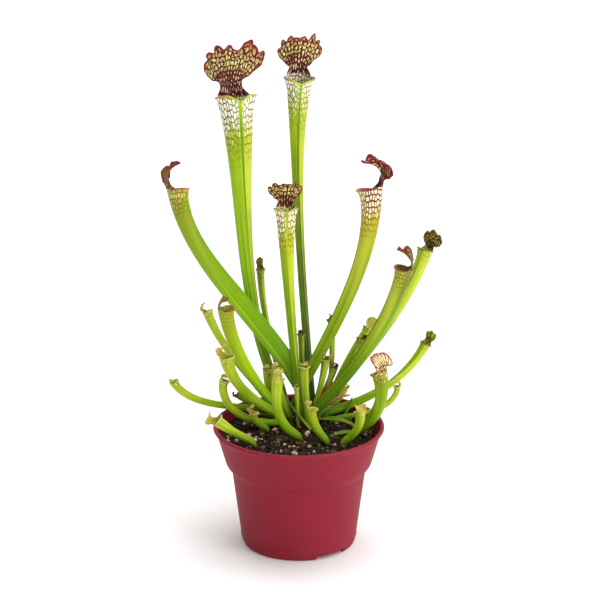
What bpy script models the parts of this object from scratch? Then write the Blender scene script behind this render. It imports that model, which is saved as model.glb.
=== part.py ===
"""Potted trumpet pitcher plant: a nursery pot, its soil plug, a rhizome and the leaves on it.

Metres, +Z up. The origin is the centre of the pot's underside, where the pot stands.
The front of the plant looks along -Y. Headings are measured from +X, turning towards +Y.
"""
from collections import namedtuple
from math import cos, pi, radians, sin

import bmesh
import bpy
import numpy as np

MM = 0.001

# ---- driving dimensions, in millimetres and degrees ----
GAP = 0.3                      # clearance between pieces that touch on the real plant
POT_RIM_RADIUS = 60.0
POT_HEIGHT = 87.0
POT_WALL = 1.4
POT_COLLAR_TOP_RADIUS = 57.8   # the deep collar widens up to the rolled lip
POT_COLLAR_FOOT_RADIUS = 51.6
POT_COLLAR_FOOT_HEIGHT = 60.6
POT_BODY_TOP_RADIUS = 47.2
POT_BODY_TOP_HEIGHT = 54.5
POT_FOOT_RADIUS = 40.2
POT_FLOOR_HEIGHT = 3.0         # the floor is raised on the foot ring and the centre pad
POT_PAD_RADIUS = 13.0
POT_FOOT_RING_WIDTH = 4.0
POT_SEGMENTS = 40
FOOT_NOTCHES = 3
FOOT_NOTCH_HEADING = -55.0
FOOT_NOTCH_WIDTH = 23.0
FOOT_NOTCH_HEIGHT = 2.6
DRAIN_HOLES = 8
DRAIN_HOLE_RADIUS = 3.5
DRAIN_CIRCLE_RADIUS = 25.0

SOIL_LEVEL = 79.0              # soil surface away from the crown
MOUND_HEIGHT = 6.0             # the crown stands on a low mound
MOUND_CENTRE = (0.0, 22.0)
MOUND_SPREAD = 16.0
SOIL_SEGMENTS = 40
RHIZOME_CENTRE = (1.0, 24.0)
RHIZOME_HALF_LENGTH = 23.0
RHIZOME_HALF_WIDTH = 13.0
RHIZOME_DEPTH = 11.0
RHIZOME_SEGMENTS = 24

# How finely each size of leaf is built: segments across the neck, segments round the rest,
# rings along the tube, rows in the hood, and the wall in millimetres.
Build = namedtuple("Build", "neck_segments rest_segments rings hood_rows wall")
BUILDS = {
    "large": Build(4, 8, 10, 4, 0.9),
    "medium": Build(4, 6, 9, 3, 0.8),
    "small": Build(2, 5, 7, 2, 0.7),
}
NECK_HALF_ANGLE = 38.0         # half of the rim's arc that the hood grows from
HOOD_CUP = 0.22                # how far a hood's sides come forward, as a share of its half width
HOOD_CORNER_DROP = 0.30        # how far its corners lie below its top, as a share of its height
LIP_FLARE = 1.12               # the rolled lip is this much wider than the tube below it
FOOT_LIFT_LENGTH = 2.5         # distance over which a low leaf climbs clear of the soil

# One pitcher leaf: where its foot stands, the way it heads, its length along the middle line,
# its slope at the foot and at the mouth, how late it turns up (1 is even), how much it sags
# between, foot and mouth radius, tube shape (share of even widening, power of the flare),
# hood (width, height), hood lean at its neck and tip, and the turn of the mouth from facing
# back towards the foot.
Pitcher = namedtuple(
    "Pitcher", "name foot heading length slope turn sag radius flare hood lean face size colour"
)
UPPER, YOUNG, DARK = "upper", "young", "dark"
PITCHERS = [
    Pitcher("tall_left_pitcher", (-7.5, 26), 135, 230, (43, 83), 0.6, -13,
            (3.2, 13.0), (0.3, 4), (44, 37), (-12, 40), -30, "large", UPPER),
    Pitcher("tall_right_pitcher", (10, 36), 103, 242, (67, 104), 1.2, 6,
            (2.7, 9.6), (0.1, 5), (34, 28), (-15, 25), -5, "large", UPPER),
    Pitcher("middle_pitcher", (1.5, 14.5), 109, 150, (71, 91), 1.0, 5,
            (2.5, 7.6), (0.3, 4), (27, 17), (-15, 35), -15, "large", UPPER),
    Pitcher("left_arching_pitcher", (8, 24.5), 160, 187, (68, 83), 1.8, 24,
            (3.2, 7.4), (0.3, 4), (16, 22), (-25, 60), 0, "large", UPPER),
    Pitcher("right_arching_pitcher", (-5, 32.5), 14, 172, (64, 95), 1.8, 7,
            (2.8, 8.4), (0.3, 4), (22, 25), (-25, 80), 0, "large", UPPER),
    Pitcher("right_leaning_pitcher", (8, 17.5), 355, 130, (46, 77), 1.2, 1,
            (3.0, 6.2), (0.3, 4), (15, 18), (5, 75), 0, "large", UPPER),
    Pitcher("far_right_pitcher", (15.5, 32.5), 17, 139, (51, 73), 1.4, 7,
            (2.8, 5.2), (0.3, 4), (16, 14), (-5, 15), 40, "medium", DARK),
    Pitcher("red_hooded_pitcher", (-11, 20), 187, 92, (49, 84), 1.3, 1,
            (2.6, 5.6), (0.5, 3), (9, 10), (0, 75), 0, "medium", UPPER),
    Pitcher("flared_left_pitcher", (-11, 14), 197, 67, (35, 81), 1.6, 3,
            (2.4, 5.0), (0.5, 4), (12, 10), (0, 50), -45, "medium", YOUNG),
    Pitcher("veined_right_pitcher", (36.5, -2), -14, 55, (7, 104), 0.8, -7,
            (2.8, 5.6), (0.6, 3), (17, 18), (-25, 85), -35, "medium", UPPER),
    Pitcher("front_tall_pitcher", (2.5, -11), 203, 54, (-3, 99), 0.6, -10,
            (2.6, 4.1), (0.6, 3), (9, 9), (10, 110), 20, "medium", YOUNG),
    Pitcher("long_right_pitcher", (16.5, 22.5), 9, 93, (13, 63), 1.5, -1,
            (2.0, 3.6), (0.5, 3), (9, 10), (0, 30), 60, "medium", DARK),
    Pitcher("trailing_left_pitcher", (-17.5, 30), 189, 79, (14, 60), 3.1, 7,
            (2.0, 3.0), (0.5, 3), (5, 4), (20, 100), 0, "small", YOUNG),
    Pitcher("back_left_pitcher", (-7, 40), 121, 104, (58, 88), 1.3, 6,
            (1.6, 2.8), (0.5, 3), (7, 9), (-10, 40), -20, "small", DARK),
    Pitcher("slender_left_pitcher", (-13.5, 35.5), 166, 89, (43, 68), 1.3, 2,
            (1.8, 3.4), (0.5, 3), (7, 8), (0, 60), 0, "small", YOUNG),
    Pitcher("curved_left_pitcher", (-6.5, 7), 181, 66, (-3, 106), 1.8, 0,
            (2.0, 3.2), (0.5, 3), (6, 6), (10, 110), 0, "small", YOUNG),
    Pitcher("rim_left_pitcher", (-29.5, -21.5), 186, 32, (21, 40), 1.1, -3,
            (2.4, 4.0), (0.5, 3), (12, 8), (0, 60), -40, "small", YOUNG),
    Pitcher("stub_left_pitcher", (-21, 3), 194, 18, (17, 88), 1.2, 2,
            (1.8, 2.9), (0.6, 3), (9, 6), (0, 70), -40, "small", YOUNG),
    Pitcher("pale_back_pitcher", (-13.5, 26.5), 166, 33, (57, 91), 1.0, 0,
            (2.0, 3.4), (0.6, 3), (7, 6), (10, 100), 0, "small", YOUNG),
    Pitcher("pink_back_pitcher", (-6, 16.5), 165, 37, (58, 92), 1.1, 0,
            (2.0, 3.4), (0.6, 3), (7, 6), (10, 100), 0, "small", YOUNG),
    Pitcher("centre_small_pitcher", (7, 8), 110, 41, (69, 89), 1.1, 3,
            (2.2, 3.4), (0.6, 3), (7, 5), (30, 120), 0, "small", YOUNG),
    Pitcher("front_centre_pitcher", (21, -19), 166, 27, (19, 88), 0.7, -1,
            (2.3, 3.7), (0.6, 3), (8, 7), (0, 70), 30, "small", YOUNG),
    Pitcher("front_right_pitcher", (29, -19.5), 345, 29, (10, 95), 0.8, -2,
            (2.2, 3.6), (0.6, 3), (11, 8), (0, 110), -60, "small", YOUNG),
    Pitcher("low_right_pitcher", (21.5, 17), -2, 59, (12, 89), 3.1, 3,
            (1.5, 2.2), (0.6, 3), (6, 5), (0, 80), 0, "small", YOUNG),
    Pitcher("back_right_pitcher", (18, 38.5), 38, 67, (60, 43), 1.1, -1,
            (1.8, 3.4), (0.5, 3), (10, 11), (-5, 30), 50, "small", YOUNG),
    Pitcher("brown_back_pitcher", (21, 35), 34, 58, (50, 69), 1.0, 0,
            (1.8, 3.2), (0.5, 3), (6, 5), (0, 90), 0, "small", DARK),
    Pitcher("back_centre_pitcher", (19.5, 44), 64, 67, (62, 100), 1.0, -2,
            (1.6, 2.6), (0.5, 3), (6, 6), (0, 80), 0, "small", DARK),
    Pitcher("dark_middle_pitcher", (3.5, 38.5), 102, 55, (78, 85), 1.0, 1,
            (1.6, 2.4), (0.5, 3), (5, 4), (0, 80), 0, "small", DARK),
    Pitcher("yellow_centre_pitcher", (10, 30.5), 52, 38, (58, 82), 1.2, 3,
            (1.8, 3.0), (0.5, 3), (8, 5), (10, 80), 0, "small", YOUNG),
    Pitcher("tan_centre_pitcher", (12.5, 41), 25, 33, (58, 73), 1.0, 2,
            (1.7, 2.8), (0.5, 3), (5, 5), (10, 100), 0, "small", DARK),
    Pitcher("thin_front_pitcher", (0, 5), 98, 27, (43, 80), 0.7, -2,
            (1.2, 1.8), (0.5, 3), (3, 3), (10, 60), 0, "small", YOUNG),
    Pitcher("dark_left_pitcher", (-16.5, 21.5), 182, 32, (29, 37), 1.0, 2,
            (1.5, 2.6), (0.5, 3), (5, 4), (0, 80), 0, "small", DARK),
    Pitcher("cream_right_pitcher", (19, 28), 12, 24, (38, 69), 1.0, 1,
            (1.5, 2.6), (0.5, 3), (5, 4), (0, 80), 0, "small", YOUNG),
]

# One flat leaf without a pitcher: foot, heading, length, slope at foot and tip, turn, sag,
# half width at the foot and tip, and colour.
Strap = namedtuple("Strap", "name foot heading length slope turn sag half_width colour")
GREEN, DRIED = "green", "dried"
STRAPS = [
    Strap("dried_strap_leaf", (13, 26), -1, 29, (56, 4), 1.1, 0, (1.4, 1.6), DRIED),
    Strap("front_strap_leaf", (13, 15), -37, 34, (26, -13), 1.0, 1, (1.8, 1.4), GREEN),
    Strap("right_strap_leaf", (23.5, -4.5), -14, 18, (21, -2), 1.1, -1, (1.6, 1.4), GREEN),
    Strap("oval_strap_leaf", (13, 19.5), 15, 14, (48, 18), 1.1, -1, (1.8, 1.4), GREEN),
    Strap("hooked_strap_leaf", (29, 19.5), 15, 20, (47, 76), 1.0, 0, (1.3, 1.0), GREEN),
    Strap("short_strap_leaf", (9, 1.5), 155, 29, (37, 52), 1.0, 0, (2.2, 1.6), GREEN),
    Strap("left_strap_leaf", (-15.5, 17), 184, 13, (23, 18), 1.0, 0, (1.8, 1.6), GREEN),
]
STRAP_THICKNESS = 1.2
STRAP_RINGS = 6

# Base colour and roughness of each material.
COLOURS = {
    "pot": ((0.30, 0.021, 0.042), 0.45),
    "soil": ((0.020, 0.014, 0.010), 0.95),
    "rhizome": ((0.16, 0.055, 0.030), 0.80),
    UPPER: ((0.36, 0.55, 0.06), 0.45),
    YOUNG: ((0.42, 0.52, 0.08), 0.45),
    DARK: ((0.20, 0.24, 0.05), 0.50),
    GREEN: ((0.18, 0.38, 0.04), 0.45),
    DRIED: ((0.42, 0.20, 0.09), 0.70),
}


def ground(x, y):
    """Height of the soil or rhizome surface: level, with a smooth bell-shaped mound."""
    away = (x - MOUND_CENTRE[0]) ** 2 + (y - MOUND_CENTRE[1]) ** 2
    return SOIL_LEVEL + MOUND_HEIGHT * np.exp(-away / (2 * MOUND_SPREAD ** 2))


def material(name):
    """A Principled material with the colour and roughness listed for this name."""
    made = bpy.data.materials.get(name)
    if made:
        return made
    colour, roughness = COLOURS[name]
    made = bpy.data.materials.new(name)
    made.use_nodes = True
    shader = made.node_tree.nodes["Principled BSDF"]
    shader.inputs["Base Color"].default_value = (*colour, 1.0)
    shader.inputs["Roughness"].default_value = roughness
    shader.inputs["Metallic"].default_value = 0.0
    return made


def add_object(name, verts, faces, collection, colour=None):
    """A mesh object from millimetre points and faces, shaded smooth."""
    mesh = bpy.data.meshes.new(name)
    mesh.from_pydata([tuple(v) for v in np.asarray(verts) * MM], [], faces)
    mesh.validate()
    mesh.shade_smooth()
    made = bpy.data.objects.new(name, mesh)
    collection.objects.link(made)
    if colour:
        mesh.materials.append(material(colour))
    return made


def hide_cutter(made):
    made.hide_render = True
    made.display_type = "WIRE"


def cut(piece, cutter):
    modifier = piece.modifiers.new("cut_" + cutter.name, "BOOLEAN")
    modifier.operation = "DIFFERENCE"
    modifier.solver = "EXACT"
    modifier.object = cutter


# ---- the pot ----
def pot_profile():
    """Half section of the pot: up the inside, over the rolled lip, down the outside, under."""
    floor_top = POT_FLOOR_HEIGHT + POT_WALL
    lip = POT_RIM_RADIUS
    inside = [
        (0, floor_top),
        (POT_FOOT_RADIUS - POT_WALL - 1.0, floor_top),
        (POT_FOOT_RADIUS - POT_WALL, floor_top + 1.5),
        (POT_BODY_TOP_RADIUS - POT_WALL, POT_BODY_TOP_HEIGHT + 0.4),
        (POT_BODY_TOP_RADIUS - POT_WALL + 0.9, POT_BODY_TOP_HEIGHT + 2.2),
        (POT_COLLAR_FOOT_RADIUS - POT_WALL - 0.9, POT_COLLAR_FOOT_HEIGHT - 1.0),
        (POT_COLLAR_FOOT_RADIUS - POT_WALL, POT_COLLAR_FOOT_HEIGHT + 0.8),
        (POT_COLLAR_TOP_RADIUS - POT_WALL, POT_HEIGHT - 4.4),
        (lip - 3.0, POT_HEIGHT - 0.8),
    ]
    outside = [
        (lip - 2.2, POT_HEIGHT),
        (lip - 0.8, POT_HEIGHT),
        (lip, POT_HEIGHT - 0.8),
        (lip, POT_HEIGHT - 2.6),
        (POT_COLLAR_TOP_RADIUS + 0.8, POT_HEIGHT - 3.6),
        (POT_COLLAR_TOP_RADIUS, POT_HEIGHT - 4.4),
        (POT_COLLAR_FOOT_RADIUS, POT_COLLAR_FOOT_HEIGHT),
        (POT_COLLAR_FOOT_RADIUS - 0.9, POT_COLLAR_FOOT_HEIGHT - 2.0),
        (POT_BODY_TOP_RADIUS + 0.9, POT_BODY_TOP_HEIGHT + 1.6),
        (POT_BODY_TOP_RADIUS, POT_BODY_TOP_HEIGHT),
        (POT_FOOT_RADIUS + 0.7, 5.0),
        (POT_FOOT_RADIUS + 0.4, 4.0),
        (POT_FOOT_RADIUS, 0.9),
        (POT_FOOT_RADIUS - 0.9, 0),
    ]
    under = [
        (POT_FOOT_RADIUS - POT_FOOT_RING_WIDTH, 0),
        (POT_FOOT_RADIUS - POT_FOOT_RING_WIDTH - 1.2, POT_FLOOR_HEIGHT),
        (POT_PAD_RADIUS + 1.5, POT_FLOOR_HEIGHT),
        (POT_PAD_RADIUS, 0),
        (0, 0),
    ]
    return inside + outside + under


def build_pot(parts, cutters):
    """The pot is a turned profile; notches and drain holes are cut through its base."""
    profile = pot_profile()
    edges = [(i, i + 1) for i in range(len(profile) - 1)]
    mesh = bpy.data.meshes.new("pot")
    mesh.from_pydata([(r * MM, 0, z * MM) for r, z in profile], edges, [])
    pot = bpy.data.objects.new("pot", mesh)
    parts.objects.link(pot)
    mesh.materials.append(material("pot"))
    screw = pot.modifiers.new("turn", "SCREW")
    screw.steps = screw.render_steps = POT_SEGMENTS
    screw.use_merge_vertices = True
    screw.merge_threshold = 0.00001
    screw.use_smooth_shade = True

    bm = bmesh.new()
    for k in range(FOOT_NOTCHES):
        heading = radians(FOOT_NOTCH_HEADING + 360 / FOOT_NOTCHES * k)
        made = bmesh.ops.create_cube(bm, size=1)["verts"]
        bmesh.ops.scale(bm, vec=(9 * MM, FOOT_NOTCH_WIDTH * MM, 2 * FOOT_NOTCH_HEIGHT * MM),
                        verts=made)
        bmesh.ops.translate(bm, vec=((POT_FOOT_RADIUS - 1.0) * MM, 0, 0), verts=made)
        turn = np.array([[cos(heading), -sin(heading)], [sin(heading), cos(heading)]])
        for v in made:
            v.co.xy = turn @ np.array(v.co.xy)
    for k in range(DRAIN_HOLES):
        heading = 2 * pi * (k + 0.5) / DRAIN_HOLES
        made = bmesh.ops.create_cone(bm, cap_ends=True, segments=12, radius1=DRAIN_HOLE_RADIUS * MM,
                                     radius2=DRAIN_HOLE_RADIUS * MM, depth=12 * MM)["verts"]
        centre = (DRAIN_CIRCLE_RADIUS * cos(heading) * MM, DRAIN_CIRCLE_RADIUS * sin(heading) * MM)
        bmesh.ops.translate(bm, vec=(*centre, POT_FLOOR_HEIGHT * MM), verts=made)
    mesh = bpy.data.meshes.new("pot_base_cutter")
    bm.to_mesh(mesh)
    bm.free()
    cutter = bpy.data.objects.new("pot_base_cutter", mesh)
    cutters.objects.link(cutter)
    hide_cutter(cutter)
    cut(pot, cutter)


# ---- soil and rhizome ----
def ring_faces(rings, segments, start):
    """Quads between successive closed rings of points, numbered from start."""
    faces = []
    for k in range(rings - 1):
        low, high = start + k * segments, start + (k + 1) * segments
        for i in range(segments):
            j = (i + 1) % segments
            faces.append((low + i, low + j, high + j, high + i))
    return faces


def capped_rings(rings, first_centre, last_centre):
    """Closed solid from a list of rings (bottom to top, anticlockwise) and two end centres."""
    segments = len(rings[0])
    verts = [first_centre] + [tuple(p) for ring in rings for p in ring] + [last_centre]
    faces = ring_faces(len(rings), segments, 1)
    last = 1 + (len(rings) - 1) * segments
    for i in range(segments):
        j = (i + 1) % segments
        faces.append((0, 1 + j, 1 + i))
        faces.append((len(verts) - 1, last + i, last + j))
    return verts, faces


def build_soil(parts, cutters):
    """The soil plug fills the pot to a few millimetres below the lip, with a low mound."""
    turn = np.linspace(0, 2 * pi, SOIL_SEGMENTS, endpoint=False)
    clear = POT_WALL + GAP / cos(pi / POT_SEGMENTS)
    floor = POT_FLOOR_HEIGHT + POT_WALL + GAP
    slope = (POT_COLLAR_TOP_RADIUS - POT_COLLAR_FOOT_RADIUS) / (
        POT_HEIGHT - 4.4 - POT_COLLAR_FOOT_HEIGHT)
    edge = POT_COLLAR_FOOT_RADIUS + slope * (SOIL_LEVEL - POT_COLLAR_FOOT_HEIGHT) - clear - 0.3
    walls = [
        (POT_FOOT_RADIUS - clear - 1.3, floor),
        (POT_FOOT_RADIUS - clear, floor + 1.8),
        (POT_BODY_TOP_RADIUS - clear, POT_BODY_TOP_HEIGHT + 0.6),
        (POT_BODY_TOP_RADIUS - clear + 0.7, POT_BODY_TOP_HEIGHT + 2.6),
        (POT_COLLAR_FOOT_RADIUS - clear - 1.1, POT_COLLAR_FOOT_HEIGHT - 0.5),
        (POT_COLLAR_FOOT_RADIUS - clear, POT_COLLAR_FOOT_HEIGHT + 1.2),
    ]
    rings = [[(r * cos(a), r * sin(a), z) for a in turn] for r, z in walls]
    for r in np.linspace(edge, 8, 8):
        x, y = r * np.cos(turn), r * np.sin(turn)
        rings.append(np.stack([x, y, ground(x, y)], axis=1))
    verts, faces = capped_rings(rings, (0, 0, floor), (0, 0, float(ground(0, 0))))
    soil = add_object("soil", verts, faces, parts, "soil")
    verts, faces = rhizome_shape(GAP)
    pocket = add_object("rhizome_pocket", verts, faces, cutters)
    hide_cutter(pocket)
    cut(soil, pocket)


def rhizome_shape(grow):
    """A stubby stem lying in the soil, its top flush with the mound and its belly rounded."""
    turn = np.linspace(0, 2 * pi, RHIZOME_SEGMENTS, endpoint=False)

    def outline(share):
        x = RHIZOME_CENTRE[0] + (RHIZOME_HALF_LENGTH * share + grow) * np.cos(turn)
        y = RHIZOME_CENTRE[1] + (RHIZOME_HALF_WIDTH * share + grow) * np.sin(turn)
        return x, y

    rings = []
    for share in (0.45, 0.75, 0.93, 1.0):
        x, y = outline(share)
        drop = (RHIZOME_DEPTH + grow) * (1 - share ** 2) ** 0.5 + 1.5
        rings.append(np.stack([x, y, ground(x, y) - drop], axis=1))
    lift = 3 * grow
    for share in (1.0, 0.7, 0.4):
        x, y = outline(share)
        rings.append(np.stack([x, y, ground(x, y) + lift], axis=1))
    centre = (*RHIZOME_CENTRE, float(ground(*RHIZOME_CENTRE)))
    belly = (centre[0], centre[1], centre[2] - RHIZOME_DEPTH - grow - 1.5)
    crown = (centre[0], centre[1], centre[2] + lift)
    return capped_rings(rings, belly, crown)


def build_rhizome(parts):
    verts, faces = rhizome_shape(0.0)
    add_object("rhizome", verts, faces, parts, "rhizome")


# ---- leaves ----
def middle_line(leaf, foot_radius, count):
    """Points, slopes and shares along a leaf's middle line, which lies in one upright plane.

    The slope goes from its foot value to its mouth value as share ** turn, less a sag that
    is greatest half way. A low leaf also climbs its own radius clear of the ground.
    """
    fine = 8 * (count - 1) + 1
    share = np.linspace(0, 1, fine)
    first, last = leaf.slope
    sagging = leaf.sag * 4 * share * (1 - share)
    slope = np.radians(first + (last - first) * share ** leaf.turn - sagging)
    step = leaf.length / (fine - 1)
    out = np.concatenate([[0], np.cumsum(np.cos(slope[:-1]) + np.cos(slope[1:])) * step / 2])
    up = np.concatenate([[0], np.cumsum(np.sin(slope[:-1]) + np.sin(slope[1:])) * step / 2])
    clear = (foot_radius + 0.4) * cos(radians(first))
    up = up + clear * (1 - np.exp(-share * leaf.length / FOOT_LIFT_LENGTH))
    heading = radians(leaf.heading)
    x = leaf.foot[0] + out * cos(heading)
    y = leaf.foot[1] + out * sin(heading)
    z = ground(*leaf.foot) + GAP + up
    points = np.stack([x, y, z], axis=1)
    return points[::8], slope[::8], share[::8]


def frames(leaf, slope, twist):
    """Unit vectors at each ring: along the leaf, towards the mouth's face, and to its side."""
    heading = radians(leaf.heading)
    level = np.array([cos(heading), sin(heading), 0])
    upright = np.array([0, 0, 1.0])
    along = np.cos(slope)[:, None] * level + np.sin(slope)[:, None] * upright
    inner = -np.sin(slope)[:, None] * level + np.cos(slope)[:, None] * upright
    side = np.cross(along, inner)
    face = np.cos(twist)[:, None] * inner + np.sin(twist)[:, None] * side
    return along, face, np.cross(along, face)


def on_ground(foot, face, side, radius, angles):
    """The lowest ring of a leaf: a circle that lies just above the ground it grows from."""
    flat_face = np.array([face[0], face[1]]) / np.hypot(face[0], face[1])
    flat_side = np.array([-flat_face[1], flat_face[0]])
    ring = foot[:2] + radius * (np.cos(angles)[:, None] * flat_face
                                + np.sin(angles)[:, None] * flat_side)
    return np.column_stack([ring, ground(ring[:, 0], ring[:, 1]) + GAP])


def hood_rows(leaf, build, centre, along, face, side, radius):
    """Rows of the hood: it leaves the back of the rim, widens, and curves over the mouth."""
    width, height = leaf.hood
    across = np.linspace(-1, 1, build.neck_segments + 1)
    neck = radians(NECK_HALF_ANGLE)
    steps = 6 * build.hood_rows
    lean = np.radians(np.linspace(leaf.lean[0], leaf.lean[1], steps + 1))
    rise = np.concatenate([[0], np.cumsum(np.cos((lean[1:] + lean[:-1]) / 2))]) * height / steps
    fore = np.concatenate([[0], np.cumsum(np.sin((lean[1:] + lean[:-1]) / 2))]) * height / steps
    rows = []
    for row in range(1, build.hood_rows + 1):
        share = row / build.hood_rows
        spread = share * (2 - share)
        half = radius * sin(neck) * (1 - spread) + width / 2 * spread
        reach = share * (1 - HOOD_CORNER_DROP * share * across ** 2)
        at = reach * steps
        cupped = radius * (1 - np.cos(across * neck)) * (1 - spread)
        cupped = cupped + HOOD_CUP * half * across ** 2 * spread
        forward = -radius + cupped + np.interp(at, np.arange(steps + 1), fore)
        upward = np.interp(at, np.arange(steps + 1), rise)
        rows.append(centre + np.outer(forward, face) + np.outer(across * half, -side)
                    + np.outer(upward, along))
    return rows


def build_pitcher(leaf, parts):
    """A pitcher leaf: an open tube with a hood grown from the back of its rim, then a wall."""
    build = BUILDS[leaf.size]
    neck = radians(NECK_HALF_ANGLE)
    back = np.linspace(pi - neck, pi + neck, build.neck_segments + 1)
    rest = np.linspace(pi + neck, 3 * pi - neck, build.rest_segments + 1)[1:-1]
    angles = np.concatenate([back, rest])
    segments = len(angles)
    points, slope, share = middle_line(leaf, leaf.radius[0], build.rings)
    smooth = share * share * (3 - 2 * share)
    along, face, side = frames(leaf, slope, radians(leaf.face) * smooth)
    even, power = leaf.flare
    radius = leaf.radius[0] + (leaf.radius[1] - leaf.radius[0]) * (
        even * share + (1 - even) * share ** power)
    rings = [on_ground(points[0], face[0], side[0], radius[0], angles)]
    for k in range(1, build.rings):
        wide = radius[k] * np.ones(segments)
        if k == build.rings - 1:
            wide[build.neck_segments + 1:] *= LIP_FLARE
        rings.append(points[k] + (wide * np.cos(angles))[:, None] * face[k]
                     + (wide * np.sin(angles))[:, None] * side[k])
    verts = [tuple(p) for ring in rings for p in ring]
    faces = [tuple(reversed(range(segments)))] + ring_faces(build.rings, segments, 0)
    rim = (build.rings - 1) * segments
    previous = [rim + i for i in range(build.neck_segments + 1)]
    for row in hood_rows(leaf, build, points[-1], along[-1], face[-1], side[-1], radius[-1]):
        current = [len(verts) + i for i in range(len(row))]
        verts += [tuple(p) for p in row]
        for i in range(build.neck_segments):
            faces.append((previous[i], previous[i + 1], current[i + 1], current[i]))
        previous = current
    made = add_object(leaf.name, verts, faces, parts, leaf.colour)
    wall = made.modifiers.new("wall", "SOLIDIFY")
    wall.thickness = build.wall * MM
    wall.offset = -1


def build_strap(leaf, parts):
    """A flat leaf: flattened six-sided rings along the middle line, closed at both ends."""
    points, slope, share = middle_line(leaf, STRAP_THICKNESS / 2, STRAP_RINGS)
    along, face, side = frames(leaf, slope, np.zeros(STRAP_RINGS))
    angles = np.linspace(0, 2 * pi, 6, endpoint=False) + pi / 2
    rings = []
    for k in range(STRAP_RINGS):
        half = leaf.half_width[0] + (leaf.half_width[1] - leaf.half_width[0]) * share[k]
        half *= 1 - 0.65 * share[k] ** 4
        ring = (points[k] + (STRAP_THICKNESS / 2 * np.cos(angles))[:, None] * face[k]
                + (half * np.sin(angles))[:, None] * side[k])
        if k == 0:
            ring[:, 2] = ground(ring[:, 0], ring[:, 1]) + GAP
        rings.append(ring)
    tip = points[-1] + 0.4 * along[-1]
    foot = (points[0][0], points[0][1], float(ground(points[0][0], points[0][1])) + GAP)
    verts, faces = capped_rings(rings, foot, tuple(tip))
    add_object(leaf.name, verts, faces, parts, leaf.colour)


def build_plant():
    for made in list(bpy.data.objects):
        bpy.data.objects.remove(made, do_unlink=True)
    parts = bpy.data.collections.new("potted_pitcher_plant")
    cutters = bpy.data.collections.new("cutters")
    bpy.context.scene.collection.children.link(parts)
    bpy.context.scene.collection.children.link(cutters)
    build_pot(parts, cutters)
    build_soil(parts, cutters)
    build_rhizome(parts)
    for leaf in PITCHERS:
        build_pitcher(leaf, parts)
    for leaf in STRAPS:
        build_strap(leaf, parts)


build_plant()
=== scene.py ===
# %% [markdown]
# # A potted trumpet pitcher plant
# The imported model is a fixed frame: a pot, its soil, a rhizome and the leaves, all at real size.
# This lesson gives each of them a fine surface and a finish, and changes no size or place.
# Every surface is a function on a grid, worked out with numpy as whole arrays.

from collections import namedtuple
from math import cos, pi, radians, sin, tau

import bpy
import numpy as np
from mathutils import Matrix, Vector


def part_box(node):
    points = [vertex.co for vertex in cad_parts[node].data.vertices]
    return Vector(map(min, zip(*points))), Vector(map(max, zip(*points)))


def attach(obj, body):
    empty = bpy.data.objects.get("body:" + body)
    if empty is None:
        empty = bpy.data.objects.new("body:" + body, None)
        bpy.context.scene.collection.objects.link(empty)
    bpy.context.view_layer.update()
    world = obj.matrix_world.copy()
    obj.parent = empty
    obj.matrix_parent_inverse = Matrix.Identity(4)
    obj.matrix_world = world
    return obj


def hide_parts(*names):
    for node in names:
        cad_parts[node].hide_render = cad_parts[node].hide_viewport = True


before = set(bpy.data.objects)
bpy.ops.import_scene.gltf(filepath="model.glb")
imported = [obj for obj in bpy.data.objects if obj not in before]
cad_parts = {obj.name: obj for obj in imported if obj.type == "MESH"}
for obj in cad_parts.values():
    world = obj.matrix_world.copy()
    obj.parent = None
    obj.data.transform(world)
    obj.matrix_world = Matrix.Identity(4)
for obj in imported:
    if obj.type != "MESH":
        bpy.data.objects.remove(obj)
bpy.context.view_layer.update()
print("frame:", len(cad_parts), "nodes")

# %% [markdown]
# ## Units and small helpers
# Leaves are easiest to describe in millimetres and degrees, so the shapes below are worked out
# in millimetres and divided by a thousand when they become a mesh.
# A colour is written as it looks on a screen and turned into the linear value a shader needs.

# %% Units, colours and easing
MM = 0.001


def screen(red, green, blue):
    """Linear RGBA for a colour given as 0 to 255 on a screen: ((c + 0.055) / 1.055) ** 2.4."""
    share = np.array([red, green, blue]) / 255
    linear = np.where(share > 0.04045, ((share + 0.055) / 1.055) ** 2.4, share / 12.92)
    return (*map(float, linear), 1.0)


def ease(value, start=0.0, end=1.0):
    """0 before start, 1 after end, and a smooth S between: t * t * (3 - 2 * t)."""
    t = np.clip((value - start) / (end - start), 0, 1)
    return t * t * (3 - 2 * t)


print("white paper is", [round(c, 3) for c in screen(250, 250, 248)[:3]])

# %% [markdown]
# ## Grids, walls and meshes
# A grid of points becomes quads by joining each point to its right and upper neighbours.
# A leaf is a sheet with an inside, so the sheet is copied along its normals and the two are
# joined along every free edge. Doing this by hand, not with a modifier, lets a rolled lip and
# other closed shapes join the same mesh afterwards.

# %% Grid faces, a wall, and a mesh object
def corners_of(grid):
    """For every quad of a grid, the values at its four corners, anticlockwise."""
    quads = np.stack([grid[:-1, :-1], grid[:-1, 1:], grid[1:, 1:], grid[1:, :-1]], axis=2)
    return quads.reshape(-1, 4, *grid.shape[2:])


def grid_quads(rows, columns, start=0, closed=False):
    """Quads of a grid of points numbered row by row from start; a closed grid joins up."""
    numbers = start + np.arange(rows * columns).reshape(rows, columns)
    if closed:
        numbers = np.concatenate([numbers, numbers[:, :1]], axis=1)
    return corners_of(numbers)


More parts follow.
